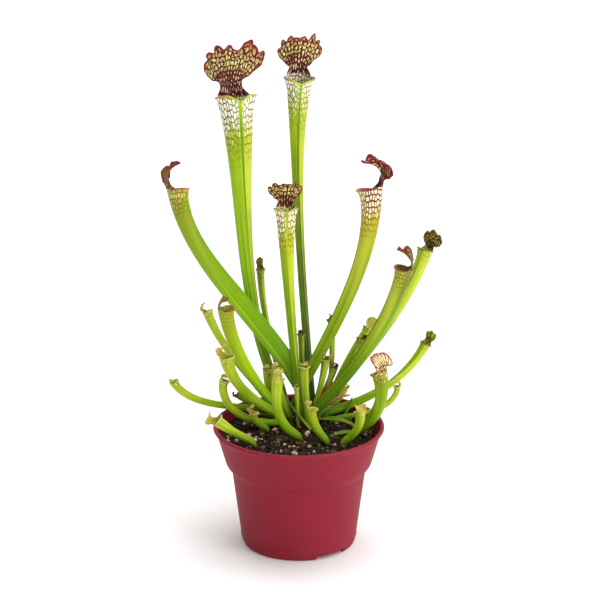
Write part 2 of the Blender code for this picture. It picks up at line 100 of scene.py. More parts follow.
def thicken(points, quads, corner_uvs, wall):
    """A sheet with a wall: a second sheet along the inward normals, and quads at free edges."""
    a, b, c, d = (points[quads[:, k]] for k in range(4))
    flat = np.cross(c - a, d - b)
    normal = np.zeros_like(points)
    for k in range(4):
        np.add.at(normal, quads[:, k], flat)
    normal /= np.maximum(np.linalg.norm(normal, axis=1, keepdims=True), 1e-12)
    count = len(points)
    pairs = [[k, (k + 1) % 4] for k in range(4)]
    edges = np.concatenate([quads[:, pair] for pair in pairs])
    values = np.concatenate([corner_uvs[:, pair] for pair in pairs])
    keys = np.sort(edges, axis=1) @ np.array([count, 1])
    _, first, uses = np.unique(keys, return_index=True, return_counts=True)
    alone = first[uses == 1]
    free, value = edges[alone], values[alone]
    rim = np.stack([free[:, 1], free[:, 0], free[:, 0] + count, free[:, 1] + count], axis=1)
    rim_uvs = value[:, [1, 0, 0, 1]]
    return (np.concatenate([points, points - normal * wall]),
            np.concatenate([quads, quads[:, ::-1] + count, rim]),
            np.concatenate([corner_uvs, corner_uvs[:, ::-1], rim_uvs]))


def show(name, data):
    """A new object in the scene for a mesh, a light or a camera."""
    made = bpy.data.objects.new(name, data)
    bpy.context.scene.collection.objects.link(made)
    return made


def make_piece(name, points_mm, faces, uvs, materials, face_material=None):
    """A shaded mesh object at the origin; uvs maps a layer's name to one row per face corner."""
    mesh = bpy.data.meshes.new(name)
    mesh.from_pydata((np.asarray(points_mm) * MM).tolist(), [], faces)
    for layer, corners in uvs.items():
        made = mesh.uv_layers.new(name=layer)
        made.data.foreach_set("uv", np.asarray(corners, dtype=np.float32).ravel())
    for material in materials:
        mesh.materials.append(material)
    if face_material is not None:
        mesh.polygons.foreach_set("material_index", np.asarray(face_material, dtype=np.int32))
    mesh.shade_smooth()
    mesh.validate()
    return show(name, mesh)


def place(piece, node):
    """The piece rides with the pot and stands for one node, which is hidden."""
    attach(piece, "root")
    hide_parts(node)
    low, high = (np.array(corner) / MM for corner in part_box(node))
    mesh = piece.data
    spot = np.empty(len(mesh.vertices) * 3)
    mesh.vertices.foreach_get("co", spot)
    spot = spot.reshape(-1, 3) / MM
    proud = max(float((low - spot.min(0)).max()), float((spot.max(0) - high).max()))
    print(f"{piece.name}: {len(mesh.polygons)} faces, proud of its node by {proud:.1f} mm")


print("helpers ready")

# %% [markdown]
# ## Camera, floor and light
# The plant is seen from a little above with a long lens, as in a plant catalogue.
# The floor is one pale sheet so wide that it fills the view. The light comes from two soft
# panels, a broad light overhead that gives a faint shadow, and a surround that is brighter on
# the right than on the left, which rounds the pot.

# %% Camera
CAMERA_DISTANCE = 1.4
CAMERA_HEIGHT_ANGLE = radians(18.1)
CAMERA_TARGET = (0.0009, 0.0, 0.1783)
CAMERA_LENS = 122.2

camera_data = bpy.data.cameras.new("camera")
camera_data.lens = CAMERA_LENS
camera_data.sensor_width = 36.0
camera = show("camera", camera_data)
camera.location = (
    CAMERA_TARGET[0],
    CAMERA_TARGET[1] - CAMERA_DISTANCE * cos(CAMERA_HEIGHT_ANGLE),
    CAMERA_TARGET[2] + CAMERA_DISTANCE * sin(CAMERA_HEIGHT_ANGLE),
)
camera.rotation_euler = (pi / 2 - CAMERA_HEIGHT_ANGLE, 0, 0)
bpy.context.scene.camera = camera
print("camera stands at", [round(c, 3) for c in camera.location])

# %% Floor
FLOOR_HALF_WIDTH = 9000.0
FLOOR_LINES = 9
side = np.linspace(-FLOOR_HALF_WIDTH, FLOOR_HALF_WIDTH, FLOOR_LINES)
floor_points = np.stack([*np.meshgrid(side, side), np.zeros((FLOOR_LINES, FLOOR_LINES))], -1)
floor_finish = bpy.data.materials.new("pale_floor")
floor_finish.use_nodes = True
floor_shader = floor_finish.node_tree.nodes["Principled BSDF"]
floor_shader.inputs["Base Color"].default_value = screen(250, 250, 249)
floor_shader.inputs["Roughness"].default_value = 0.9
floor = make_piece("floor", floor_points.reshape(-1, 3),
                   grid_quads(FLOOR_LINES, FLOOR_LINES).tolist(), {}, [floor_finish])
print("floor is", 2 * FLOOR_HALF_WIDTH * MM, "m wide")


# %% Lights
def add_panel(name, place_at, aim_at, width, power):
    """A square area light that looks at a point."""
    data = bpy.data.lights.new(name, "AREA")
    data.size = width
    data.energy = power
    panel = show(name, data)
    panel.location = place_at
    away = np.array(place_at) - np.array(aim_at)
    flat = float(np.hypot(away[0], away[1]))
    panel.rotation_euler = (float(np.arctan2(flat, away[2])), 0,
                            float(np.arctan2(away[1], away[0])) + pi / 2)


add_panel("key_panel", (1.5, -1.1, 0.75), (0, 0, 0.12), 0.9, 13)
add_panel("back_panel", (-0.9, 1.6, 1.2), (0, 0, 0.2), 1.0, 6)
overhead_data = bpy.data.lights.new("overhead", "SUN")
overhead_data.energy = 1.5
overhead_data.angle = radians(50)
overhead = show("overhead", overhead_data)
overhead.rotation_euler = (radians(-8), radians(8), 0)
print("two panels and an overhead light")

# %% Surround
SURROUND_LEFT, SURROUND_RIGHT = 0.34, 1.15
world = bpy.data.worlds.new("studio")
world.use_nodes = True
sky = world.node_tree
sky_direction = sky.nodes.new("ShaderNodeTexCoord")
sky_split = sky.nodes.new("ShaderNodeSeparateXYZ")
sky_range = sky.nodes.new("ShaderNodeMapRange")
sky.links.new(sky_direction.outputs["Generated"], sky_split.inputs["Vector"])
sky.links.new(sky_split.outputs["X"], sky_range.inputs["Value"])
sky_range.inputs["From Min"].default_value = -1.0
sky_range.inputs["To Min"].default_value = SURROUND_LEFT
sky_range.inputs["To Max"].default_value = SURROUND_RIGHT
sky.nodes["Background"].inputs["Color"].default_value = (1, 1, 1, 1)
sky.links.new(sky_range.outputs["Result"], sky.nodes["Background"].inputs["Strength"])
bpy.context.scene.world = world
bpy.context.scene.view_settings.view_transform = "Standard"
print("surround from", SURROUND_LEFT, "on the left to", SURROUND_RIGHT, "on the right")

# %% [markdown]
# ## Writing materials as short code
# A material is a small graph of nodes. These helpers add a node with its settings and join it
# to what feeds it, so that each material below reads like a recipe. Any value may be a plain
# number or colour, or the output of another node.

# %% Node helpers
def feed(tree, value, socket):
    """Joins another node's output to a socket, or writes a plain value on it."""
    if isinstance(value, bpy.types.NodeSocket):
        tree.links.new(value, socket)
    else:
        socket.default_value = value


def node(tree, kind, settings=None, **links):
    """Adds a shader node; settings are its own properties, links are its inputs by name, or
    n0, n1 and so on by number."""
    made = tree.nodes.new("ShaderNode" + kind)
    for key, value in (settings or {}).items():
        setattr(made, key, value)
    for key, value in links.items():
        numbered = key[0] == "n" and key[1:].isdigit()
        feed(tree, value, made.inputs[int(key[1:]) if numbered else key.replace("_", " ")])
    return made


def ramp(tree, factor, stops):
    """A colour ramp: stops are (position, colour) pairs."""
    made = tree.nodes.new("ShaderNodeValToRGB")
    while len(made.color_ramp.elements) < len(stops):
        made.color_ramp.elements.new(0.5)
    for element, (position, colour) in zip(made.color_ramp.elements, stops):
        element.position = position
        element.color = colour
    tree.links.new(factor, made.inputs["Fac"])
    return made.outputs["Color"]


def mix(tree, factor, first, second):
    """A colour between first and second by factor."""
    return node(tree, "Mix", {"data_type": "RGBA"}, n0=factor, n6=first, n7=second).outputs[2]


def maths(tree, operation, first, second=0.0):
    """One arithmetic step on numbers."""
    return node(tree, "Math", {"operation": operation}, n0=first, n1=second).outputs[0]


def times(tree, *values):
    """The product of two or more numbers; as masks, where all of them are 1."""
    product = values[0]
    for value in values[1:]:
        product = maths(tree, "MULTIPLY", product, value)
    return product


def away_from(tree, value, centre):
    """Distance of a number from a centre: abs(value - centre)."""
    return maths(tree, "ABSOLUTE", maths(tree, "SUBTRACT", value, centre))


def between(tree, value, low, high):
    """0 below low, 1 above high, smooth between; low may be the larger to turn it round."""
    return node(tree, "MapRange", {"interpolation_type": "SMOOTHSTEP"}, Value=value,
                From_Min=low, From_Max=high).outputs["Result"]


def split_uv(tree, layer):
    """The two coordinates of one UV map of the piece."""
    parts = node(tree, "SeparateXYZ", Vector=node(tree, "UVMap", {"uv_map": layer}).outputs["UV"])
    return parts.outputs["X"], parts.outputs["Y"]


def new_group(name, inputs, outputs):
    """An empty node group with number inputs (name, default) and named outputs."""
    group = bpy.data.node_groups.new(name, "ShaderNodeTree")
    for label, value in inputs:
        socket = group.interface.new_socket(label, in_out="INPUT", socket_type="NodeSocketFloat")
        socket.default_value = value
    for label, kind in outputs:
        group.interface.new_socket(label, in_out="OUTPUT", socket_type="NodeSocket" + kind)
    return group, group.nodes.new("NodeGroupInput"), group.nodes.new("NodeGroupOutput")


def use_group(tree, group, **values):
    """Places a group in a material; each value is a number or another node's output."""
    return node(tree, "Group", {"node_tree": group}, **values).outputs


def new_finish(name, roughness=0.5, coat=0.0):
    """A new material, its tree and its Principled shader."""
    finish = bpy.data.materials.new(name)
    finish.use_nodes = True
    shader = finish.node_tree.nodes["Principled BSDF"]
    shader.inputs["Roughness"].default_value = roughness
    shader.inputs["Coat Weight"].default_value = coat
    shader.inputs["Specular IOR Level"].default_value = 0.25
    return finish, finish.node_tree, shader


print("node helpers ready")

# %% [markdown]
# ## Effects that several finishes share
# Three effects turn up in more than one material, so each is a node group built once:
# a net of veins, fine lengthwise streaks, and soft cloudy mottling.
# The net comes from a Voronoi pattern's distance to the nearest cell edge, read in the leaf's
# own coordinates, where one unit is one mesh of the net; that is how it follows the leaf.
# The same group gives a random number for each mesh, and plain ribs that run lengthwise.

# %% Vein net group
NET_JUMBLE = 0.7
RIB_HALF_WIDTH = 0.05
net_group, net_in, net_out = new_group(
    "vein_net", [("Across", 1.0), ("Width", 0.1), ("Wander", 0.12)],
    [("Net", "Float"), ("Cell", "Float"), ("Rib", "Float")])
finer = node(net_group, "CombineXYZ", n0=net_in.outputs["Across"], n1=1.0, n2=1.0)
scaled = node(net_group, "VectorMath", {"operation": "MULTIPLY"},
              n0=node(net_group, "UVMap", {"uv_map": "net"}).outputs["UV"],
              n1=finer.outputs[0]).outputs["Vector"]
wobble = node(net_group, "TexNoise", {"noise_dimensions": "2D"}, Vector=scaled, Scale=0.8,
              Detail=2.0).outputs["Color"]
wobble = node(net_group, "VectorMath", {"operation": "SUBTRACT"}, n0=wobble,
              n1=(0.5, 0.5, 0.5)).outputs["Vector"]
wobble = node(net_group, "VectorMath", {"operation": "SCALE"}, n0=wobble,
              Scale=net_in.outputs["Wander"]).outputs["Vector"]
shifted = node(net_group, "VectorMath", {"operation": "ADD"}, n0=scaled,
               n1=wobble).outputs["Vector"]
edges, patches = (
    node(net_group, "TexVoronoi", {"voronoi_dimensions": "2D", "feature": feature},
         Vector=shifted, Scale=1.0, Randomness=NET_JUMBLE)
    for feature in ("DISTANCE_TO_EDGE", "F1"))
net_width = net_in.outputs["Width"]
net_group.links.new(between(net_group, edges.outputs["Distance"], net_width, 0.0),
                    net_out.inputs["Net"])
rib_at = node(net_group, "SeparateXYZ", Vector=shifted).outputs["X"]
rib_away = away_from(net_group, maths(net_group, "FRACT", rib_at), 0.5)
net_group.links.new(between(net_group, rib_away, net_width, RIB_HALF_WIDTH),
                    net_out.inputs["Rib"])
patch_share = node(net_group, "SeparateColor", Color=patches.outputs["Color"]).outputs[0]
net_group.links.new(patch_share, net_out.inputs["Cell"])
print("vein_net:", len(net_group.nodes), "nodes")

# %% Streak and mottle groups
streak_group, streak_in, streak_out = new_group(
    "lengthwise_streaks", [("Count", 1.6)], [("Streak", "Float")])
streak_uv = node(streak_group, "UVMap", {"uv_map": "net"}).outputs["UV"]
stretched = node(streak_group, "VectorMath", {"operation": "MULTIPLY"}, n0=streak_uv,
                 n1=(1.0, 0.05, 1.0)).outputs["Vector"]
streak_noise = node(streak_group, "TexNoise", {"noise_dimensions": "2D"}, Vector=stretched,
                    Scale=streak_in.outputs["Count"], Detail=3.0, Roughness=0.6)
streak_group.links.new(between(streak_group, streak_noise.outputs["Fac"], 0.36, 0.66),
                       streak_out.inputs["Streak"])

mottle_group, mottle_in, mottle_out = new_group(
    "soft_mottle", [("Size", 60.0)], [("Cloud", "Float")])
mottle_at = node(mottle_group, "TexCoord").outputs["Object"]
mottle_noise = node(mottle_group, "TexNoise", Vector=mottle_at, Detail=4.0, Roughness=0.55,
                    Scale=mottle_in.outputs["Size"])
mottle_group.links.new(between(mottle_group, mottle_noise.outputs["Fac"], 0.32, 0.68),
                       mottle_out.inputs["Cloud"])
print("streaks and mottle ready")

# %% [markdown]
# ## The pot
# The real pot is one thin moulding: a rolled lip, a deep flared collar, a tapered body, a fine
# bead above its foot and a foot ring broken by notches. It could be a lathe modifier on a curve.
# Here the half section is a list of corners, each rounded by a short quadratic arc, and the
# section is turned in numpy, because then the notches are simply a change of height near some
# headings. Only the drain holes in the floor are cut with a Boolean, which is applied at once.

# %% Pot section
POT_CORNERS = [  # radius, height, rounding: up the inside, over the lip, down and under
    (0, 4.4, 0), (37.1, 4.4, 1.5), (39.3, 6.2, 1.5), (45.8, 54.9, 3.0), (46.6, 57.0, 1.5),
    (49.4, 59.6, 1.5), (50.3, 61.6, 2.5), (56.4, 82.6, 2.0), (57.0, 86.2, 0.8),
    (57.9, 87.0, 0.6), (59.2, 87.0, 0.9), (60.0, 86.1, 0.9), (60.0, 84.6, 0.9),
    (58.6, 83.5, 0.6), (57.8, 82.7, 0.8), (51.6, 60.6, 1.8), (50.6, 58.6, 1.6),
    (48.0, 56.0, 1.6), (47.2, 54.5, 1.6), (41.05, 6.2, 0.6), (41.2, 5.6, 0.3),
    (41.2, 4.8, 0.3), (40.8, 4.2, 0.4), (40.3, 1.2, 0.8), (39.4, 0, 0.7), (36.2, 0, 0.5),
    (35.0, 3.0, 0.8), (14.5, 3.0, 0.8), (13.0, 0, 0.6), (0, 0, 0),
]


def rounded(corners, steps=5):
    """Each corner becomes a quadratic arc from rounding before it to rounding after it."""
    line = []
    spots = np.array([corner[:2] for corner in corners], dtype=float)
    for k, (_, _, rounding) in enumerate(corners):
        if rounding == 0:
            line.append(spots[k:k + 1])
            continue
        back, on = spots[k - 1] - spots[k], spots[k + 1] - spots[k]
        start = spots[k] + back / np.linalg.norm(back) * min(rounding, np.linalg.norm(back) * 0.45)
        end = spots[k] + on / np.linalg.norm(on) * min(rounding, np.linalg.norm(on) * 0.45)
        t = np.linspace(0, 1, steps)[:, None]
        line.append((1 - t) ** 2 * start + 2 * t * (1 - t) * spots[k] + t ** 2 * end)
    return np.concatenate(line)


pot_section = rounded(POT_CORNERS)
print("pot section has", len(pot_section), "points")

# %% Turn the section and notch the foot
NOTCH_HEADINGS = np.radians([-55.0, 65.0, 185.0])
NOTCH_HALF_ANGLE = radians(16.9)
NOTCH_HEIGHT = 2.6
POT_COLUMNS = 180


def turned_pot():
    """Points of the section at each heading; inside a notch the foot ring is lifted flat."""
    even = np.linspace(0, tau, POT_COLUMNS, endpoint=False)
    sides = [(h + s * NOTCH_HALF_ANGLE + e) % tau
             for h in NOTCH_HEADINGS for s in (-1, 1) for e in (-0.004, 0.004)]
    headings = np.unique(np.concatenate([even, sides]))
    ring = pot_section[1:-1]
    radius = np.repeat(ring[:, :1], len(headings), axis=1)
    height = np.repeat(ring[:, 1:], len(headings), axis=1)
    away = np.abs((headings[:, None] - NOTCH_HEADINGS + pi) % tau - pi).min(axis=1)
    notched = (away < NOTCH_HALF_ANGLE)[None, :] & (radius > 33)
    height = np.where(notched, np.maximum(height, NOTCH_HEIGHT), height)
    grid = np.stack([radius * np.cos(headings), radius * np.sin(headings), height], axis=-1)
    return grid


pot_grid = turned_pot()
pot_rows, pot_columns = pot_grid.shape[:2]
pot_points = np.concatenate([pot_grid.reshape(-1, 3), [[0, 0, 4.4], [0, 0, 0]]])
pot_faces = grid_quads(pot_rows, pot_columns, closed=True)[:, ::-1].tolist()
around = np.arange(pot_columns)
after = (around + 1) % pot_columns
bottom_row = (pot_rows - 1) * pot_columns
pot_faces += np.stack([np.full(pot_columns, len(pot_points) - 2), around, after], 1).tolist()
pot_faces += np.stack([np.full(pot_columns, len(pot_points) - 1), bottom_row + after,
                       bottom_row + around], 1).tolist()
print("pot grid", pot_rows, "x", pot_columns)

# %% [markdown]
# ### Crimson plastic
# Nursery pots are cheap polypropylene: matte, a little waxy, with faint flow marks from the
# mould and small scuffs on the lip and the foot, where pots rub against each other.
# Noise on Object coordinates gives both; the scuffs are kept to heights near lip and foot.

# %% Crimson plastic
def crimson_plastic():
    """Clouded crimson, scuffed at the lip and the foot, dusty near the floor, fine grained."""
    finish, tree, shader = new_finish("crimson_plastic")
    at = node(tree, "TexCoord").outputs["Object"]
    height = node(tree, "SeparateXYZ", Vector=at).outputs["Z"]
    cloud = use_group(tree, mottle_group, Size=38.0)["Cloud"]
    colour = mix(tree, cloud, screen(132, 15, 36), screen(138, 18, 42))
    speck = node(tree, "TexNoise", Vector=at, Scale=900.0, Detail=2.0).outputs["Fac"]
    near_lip = between(tree, height, 0.0815, 0.0868)
    near_foot = between(tree, height, 0.006, 0.0005)
    worn = maths(tree, "MAXIMUM", near_lip, near_foot)
    scuff = times(tree, worn, between(tree, speck, 0.52, 0.68), 0.35)
    colour = mix(tree, scuff, colour, screen(178, 84, 98))
    dust = times(tree, between(tree, height, 0.03, 0.0), cloud, 0.18)
    colour = mix(tree, dust, colour, screen(120, 60, 66))
    tree.links.new(colour, shader.inputs["Base Color"])
    rough = maths(tree, "ADD", times(tree, cloud, 0.08), 0.56)
    tree.links.new(rough, shader.inputs["Roughness"])
    grain = node(tree, "TexNoise", Vector=at, Scale=1500.0, Detail=3.0).outputs["Fac"]
    bump = node(tree, "Bump", Height=grain, Strength=0.06, Distance=0.0003)
    tree.links.new(bump.outputs["Normal"], shader.inputs["Normal"])
    return finish


print("crimson plastic ready")

# %% Drain holes and pot piece
DRAIN_HOLES = 8
DRAIN_RADIUS = 3.5
DRAIN_CIRCLE = 25.0
DRILL_SIDES = 24
DRILL_ENDS = (-3.0, 9.0)


def drills():
    """One mesh of upright cylinders, evenly spaced on the drain circle."""
    turn = np.linspace(0, tau, DRILL_SIDES, endpoint=False)
    points, faces = [], []
    for k in range(DRAIN_HOLES):
        heading = tau * (k + 0.5) / DRAIN_HOLES
        for height in DRILL_ENDS:
            ring_x = DRAIN_CIRCLE * cos(heading) + DRAIN_RADIUS * np.cos(turn)
            ring_y = DRAIN_CIRCLE * sin(heading) + DRAIN_RADIUS * np.sin(turn)
            points.append(np.stack([ring_x, ring_y, np.full(DRILL_SIDES, height)], 1))
        first = 2 * DRILL_SIDES * k
        upper = first + DRILL_SIDES
        faces += grid_quads(2, DRILL_SIDES, first, closed=True).tolist()
        faces += [list(range(upper - 1, first - 1, -1)), list(range(upper, upper + DRILL_SIDES))]
    return make_piece("drill", np.concatenate(points), faces, {}, [])


pot_piece = make_piece("nursery_pot", pot_points, pot_faces, {}, [crimson_plastic()])
drill = drills()
hole_cut = pot_piece.modifiers.new("drain_holes", "BOOLEAN")
hole_cut.operation = "DIFFERENCE"
hole_cut.object = drill
bpy.context.view_layer.update()
drilled = bpy.data.meshes.new_from_object(
    pot_piece.evaluated_get(bpy.context.evaluated_depsgraph_get()))
pot_piece.modifiers.clear()
pot_piece.data = drilled
drilled.shade_smooth()
drilled.set_sharp_from_angle(angle=radians(50))
bpy.data.objects.remove(drill, do_unlink=True)
place(pot_piece, "pot")

# %% [markdown]
# ## The soil
# Potting mix for these plants is peat with bark and perlite. Its surface is lumpy and loose.
# It could be one bumpy disc, but crumbs that cast shadows make it read as loose soil, so the
# disc carries several hundred small stones and chips, each a squashed ball of a few dozen
# faces. One seeded generator places them, and they lie on the same height function as the disc.

# %% Ground height
SOIL_LEVEL = 79.0
MOUND_HEIGHT = 6.0
MOUND_CENTRE = (0.0, 22.0)
MOUND_SPREAD = 16.0
SOIL_EDGE = 55.0
SOIL_COLUMNS = 300
SOIL_RINGS = 110
SETTLED = 0.3
LUMP_HEIGHT = 0.55
LUMP_SEED = 7
CLOD_SEED = 8


def ground(x, y):
    """Height of the soil: level, with a bell-shaped mound exp(-distance^2 / 2 spread^2)."""
    away = (x - MOUND_CENTRE[0]) ** 2 + (y - MOUND_CENTRE[1]) ** 2
    return SOIL_LEVEL + MOUND_HEIGHT * np.exp(-away / (2 * MOUND_SPREAD ** 2))


def lumps(x, y, seed, waves=60, finest=1.2, coarsest=9.0):
    """Sum of plane waves of random heading and phase; each one's height follows its length."""
    pick = np.random.default_rng(seed)
    length = np.exp(pick.uniform(np.log(finest), np.log(coarsest), waves))
    heading = pick.uniform(0, tau, waves)
    phase = pick.uniform(0, tau, waves)
    total = np.zeros(np.shape(x))
    for size, turned, start in zip(length, heading, phase):
        total += size * np.sin(tau / size * (x * cos(turned) + y * sin(turned)) + start)
    return total / np.sqrt((length ** 2).sum() / 2)


print("mound top", round(float(ground(0, 22)), 1), "mm")

# %% Soil disc
def soil_body():
    """The plug: a lumpy top on a polar grid, then down the pot's inner wall to its floor."""
    columns = SOIL_COLUMNS
    turn = np.linspace(0, tau, columns, endpoint=False)
    radius = np.linspace(0.4, SOIL_EDGE, SOIL_RINGS)[:, None]
    x, y = radius * np.cos(turn), radius * np.sin(turn)
    rough = LUMP_HEIGHT * lumps(x, y, LUMP_SEED) + 0.25 * lumps(x, y, CLOD_SEED, 40, 0.8, 2.0)
    top = ground(x, y) - SETTLED + rough * ease(radius, SOIL_EDGE, SOIL_EDGE - 3)
    rings = np.stack([x, y, top], -1)
    walls = np.array([(54.8, 78.2), (50.0, 61.4), (46.2, 57.2), (45.3, 54.9), (38.4, 7.0),
                      (37.1, 4.9), (20, 4.8), (0.4, 4.8)])
    sides = np.stack([walls[:, :1] * np.cos(turn), walls[:, :1] * np.sin(turn),
                      np.repeat(walls[:, 1:], columns, 1)], -1)
    grid = np.concatenate([rings, sides])
    faces = grid_quads(len(grid), columns, closed=True)[:, ::-1].tolist()
    faces.append(list(range(columns)))
    last = (len(grid) - 1) * columns
    faces.append(list(range(last + columns - 1, last - 1, -1)))
    return grid.reshape(-1, 3), faces


soil_points, soil_faces = soil_body()
print("soil disc", len(soil_faces), "faces")

# %% Crumbs, bark and perlite
def ball(rings=5, columns=7):
    """A unit ball as a small latitude grid with a point at each pole."""
    lift = np.linspace(-pi / 2, pi / 2, rings + 2)[1:-1][:, None]
    turn = np.linspace(0, tau, columns, endpoint=False)
    grid = np.stack([np.cos(lift) * np.cos(turn), np.cos(lift) * np.sin(turn),
                     np.sin(lift) * np.ones(columns)], -1).reshape(-1, 3)
    points = np.concatenate([grid, [[0, 0, -1], [0, 0, 1]]])
    low, high = len(grid), len(grid) + 1
    top = (rings - 1) * columns
    faces = grid_quads(rings, columns, closed=True).tolist()
    faces += [[low, (i + 1) % columns, i] for i in range(columns)]
    faces += [[high, top + i, top + (i + 1) % columns] for i in range(columns)]
    return points, faces


def scatter(count, seed, size, flatness, reach, raised):
    """Many jittered balls: random size, flattening and turn, resting on the ground; raised is
    the share of its half height by which a grain's middle stands above the ground."""
    pick = np.random.default_rng(seed)
    shape, faces = ball()
    points = np.repeat(shape[None], count, axis=0)
    points = points * (1 + pick.normal(0, 0.16, points.shape[:2]))[..., None]
    width = np.exp(pick.uniform(np.log(size[0]), np.log(size[1]), count))
    scale = np.stack([width, width * pick.uniform(0.5, 1.0, count),
                      width * pick.uniform(*flatness, count)], 1)
    points = points * scale[:, None]
    tilt, heading = pick.normal(0, 0.45, count), pick.uniform(0, tau, count)
    y = points[..., 1] * np.cos(tilt)[:, None] - points[..., 2] * np.sin(tilt)[:, None]
    z = points[..., 1] * np.sin(tilt)[:, None] + points[..., 2] * np.cos(tilt)[:, None]
    x = points[..., 0]
    c, s = np.cos(heading)[:, None], np.sin(heading)[:, None]
    radius = reach * np.sqrt(pick.uniform(0, 1, count))
    spin = pick.uniform(0, tau, count)
    at_x, at_y = radius * np.cos(spin), radius * np.sin(spin)
    rough = LUMP_HEIGHT * lumps(at_x, at_y, LUMP_SEED)
    at_z = ground(at_x, at_y) + rough - SETTLED + scale[:, 2] * raised
    points = np.stack([x * c - y * s + at_x[:, None], x * s + y * c + at_y[:, None],
                       z + at_z[:, None]], -1)
    span = len(shape)
    every = [[i + span * k for i in face] for k in range(count) for face in faces]
    return points.reshape(-1, 3), every


GRAINS = [  # count, seed, half size in mm, flatness, reach, how high it lies, finish number
    (560, 11, (0.5, 1.8), (0.5, 1.0), 54.0, 0.3, 1),
    (170, 12, (1.0, 3.2), (0.25, 0.5), 52.0, 0.5, 2),
    (70, 13, (0.8, 2.6), (0.5, 0.9), 52.5, 0.5, 3),
    (50, 14, (0.6, 1.5), (0.4, 0.8), 53.5, 0.5, 4),
]
soil_indices = [0] * len(soil_faces)
for *grain, number in GRAINS:
    grain_points, grain_faces = scatter(*grain)
    offset = len(soil_points)
    soil_points = np.concatenate([soil_points, grain_points])
    soil_faces += [[i + offset for i in face] for face in grain_faces]
    soil_indices += [number] * len(grain_faces)
print("soil with grains:", len(soil_faces), "faces")

# %% [markdown]
# ### Earth finishes
# Damp peat is almost black with warm brown fibres, bark is red-brown, perlite is chalky white
# tinged pink and cream by dust, and some crumbs are tan. They share one recipe with other
# colours: two tones mixed by noise, a rough surface and a bump.

# %% Earth finish and soil piece
def earth(name, dark, light, grain_size, bumpiness):
    """A dark and a light tone mixed by noise, which also lifts the bump."""
    finish, tree, shader = new_finish(name, roughness=0.92)
    at = node(tree, "TexCoord").outputs["Object"]
    noise = node(tree, "TexNoise", Vector=at, Scale=grain_size, Detail=5.0,
                 Roughness=0.65).outputs["Fac"]
    colour = mix(tree, between(tree, noise, 0.38, 0.66), screen(*dark), screen(*light))
    tree.links.new(colour, shader.inputs["Base Color"])
    bump = node(tree, "Bump", Height=noise, Strength=bumpiness, Distance=0.0008)
    tree.links.new(bump.outputs["Normal"], shader.inputs["Normal"])
    shader.inputs["Specular IOR Level"].default_value = 0.12
    return finish


earth_finishes = [
    earth("peat", (16, 13, 11), (60, 48, 36), 300.0, 1.0),
    earth("peat_crumb", (26, 20, 15), (80, 64, 46), 420.0, 0.8),
    earth("bark", (50, 34, 26), (122, 94, 68), 380.0, 0.7),
    earth("perlite", (160, 120, 104), (226, 204, 186), 600.0, 0.5),
    earth("tan_chip", (120, 88, 50), (190, 158, 96), 450.0, 0.5),
]
soil_piece = make_piece("potting_soil", soil_points, soil_faces, {}, earth_finishes, soil_indices)
place(soil_piece, "soil")

# %% [markdown]
# ### The rhizome
# Under the leaves lies a stubby creeping stem, flush with the mound. It is rough with the
# stubs of old leaves, so it is a squashed ball whose radius carries ridges around it.

# %% Rhizome finish and piece
RHIZOME_CENTRE = (1.0, 24.0)
RHIZOME_HALF = (23.0, 13.0)
RHIZOME_DEPTH = 12.0
RHIZOME_RINGS, RHIZOME_COLUMNS = 39, 96
RIDGES = 14


def rhizome_body():
    """Ellipsoid almost wholly below ground: its top follows the ground, its sides are ridged."""
    rings, columns = RHIZOME_RINGS, RHIZOME_COLUMNS
    lift = np.linspace(-pi / 2, pi / 2, rings + 2)[1:-1][:, None]
    turn = np.linspace(0, tau, columns, endpoint=False)
    ridges = 1 + 0.025 * np.sin(RIDGES * turn) * np.cos(lift)
    x = RHIZOME_CENTRE[0] + RHIZOME_HALF[0] * np.cos(lift) * np.cos(turn) * ridges
    y = RHIZOME_CENTRE[1] + RHIZOME_HALF[1] * np.cos(lift) * np.sin(turn) * ridges
    below = np.minimum(np.sin(lift), 0) * RHIZOME_DEPTH
    above = np.maximum(np.sin(lift), 0) * 0.9
    z = ground(x, y) - 1.2 + below + above + 0.3 * lumps(x, y, 21)
    faces = grid_quads(rings, columns, closed=True).tolist()
    faces.append(list(range(columns - 1, -1, -1)))
    faces.append(list(range((rings - 1) * columns, rings * columns)))
    return np.stack([x, y, z], -1).reshape(-1, 3), faces


rhizome_points, rhizome_faces = rhizome_body()
rhizome_finish = earth("rhizome_skin", (48, 24, 18), (118, 66, 48), 300.0, 0.7)
rhizome_piece = make_piece("rhizome_stem", rhizome_points, rhizome_faces, {}, [rhizome_finish])
place(rhizome_piece, "rhizome")

# %% [markdown]
# ## The leaves as numbers
# A pitcher leaf is a tube that widens slowly and flares near its mouth, and its middle line
# lies in one upright plane. Each row below says where a leaf's foot stands, which way it heads,
# its length, its slope at the foot and at the mouth, how late it turns up, how much it sags,
# its radii, how the tube flares, its hood, how the hood leans, how far the mouth turns, and its
# class. These are the same numbers as in the model, so that the leaves lie in the same places.
# A row's name followed by _pitcher, or by _leaf for a flat leaf, is the node it stands for.

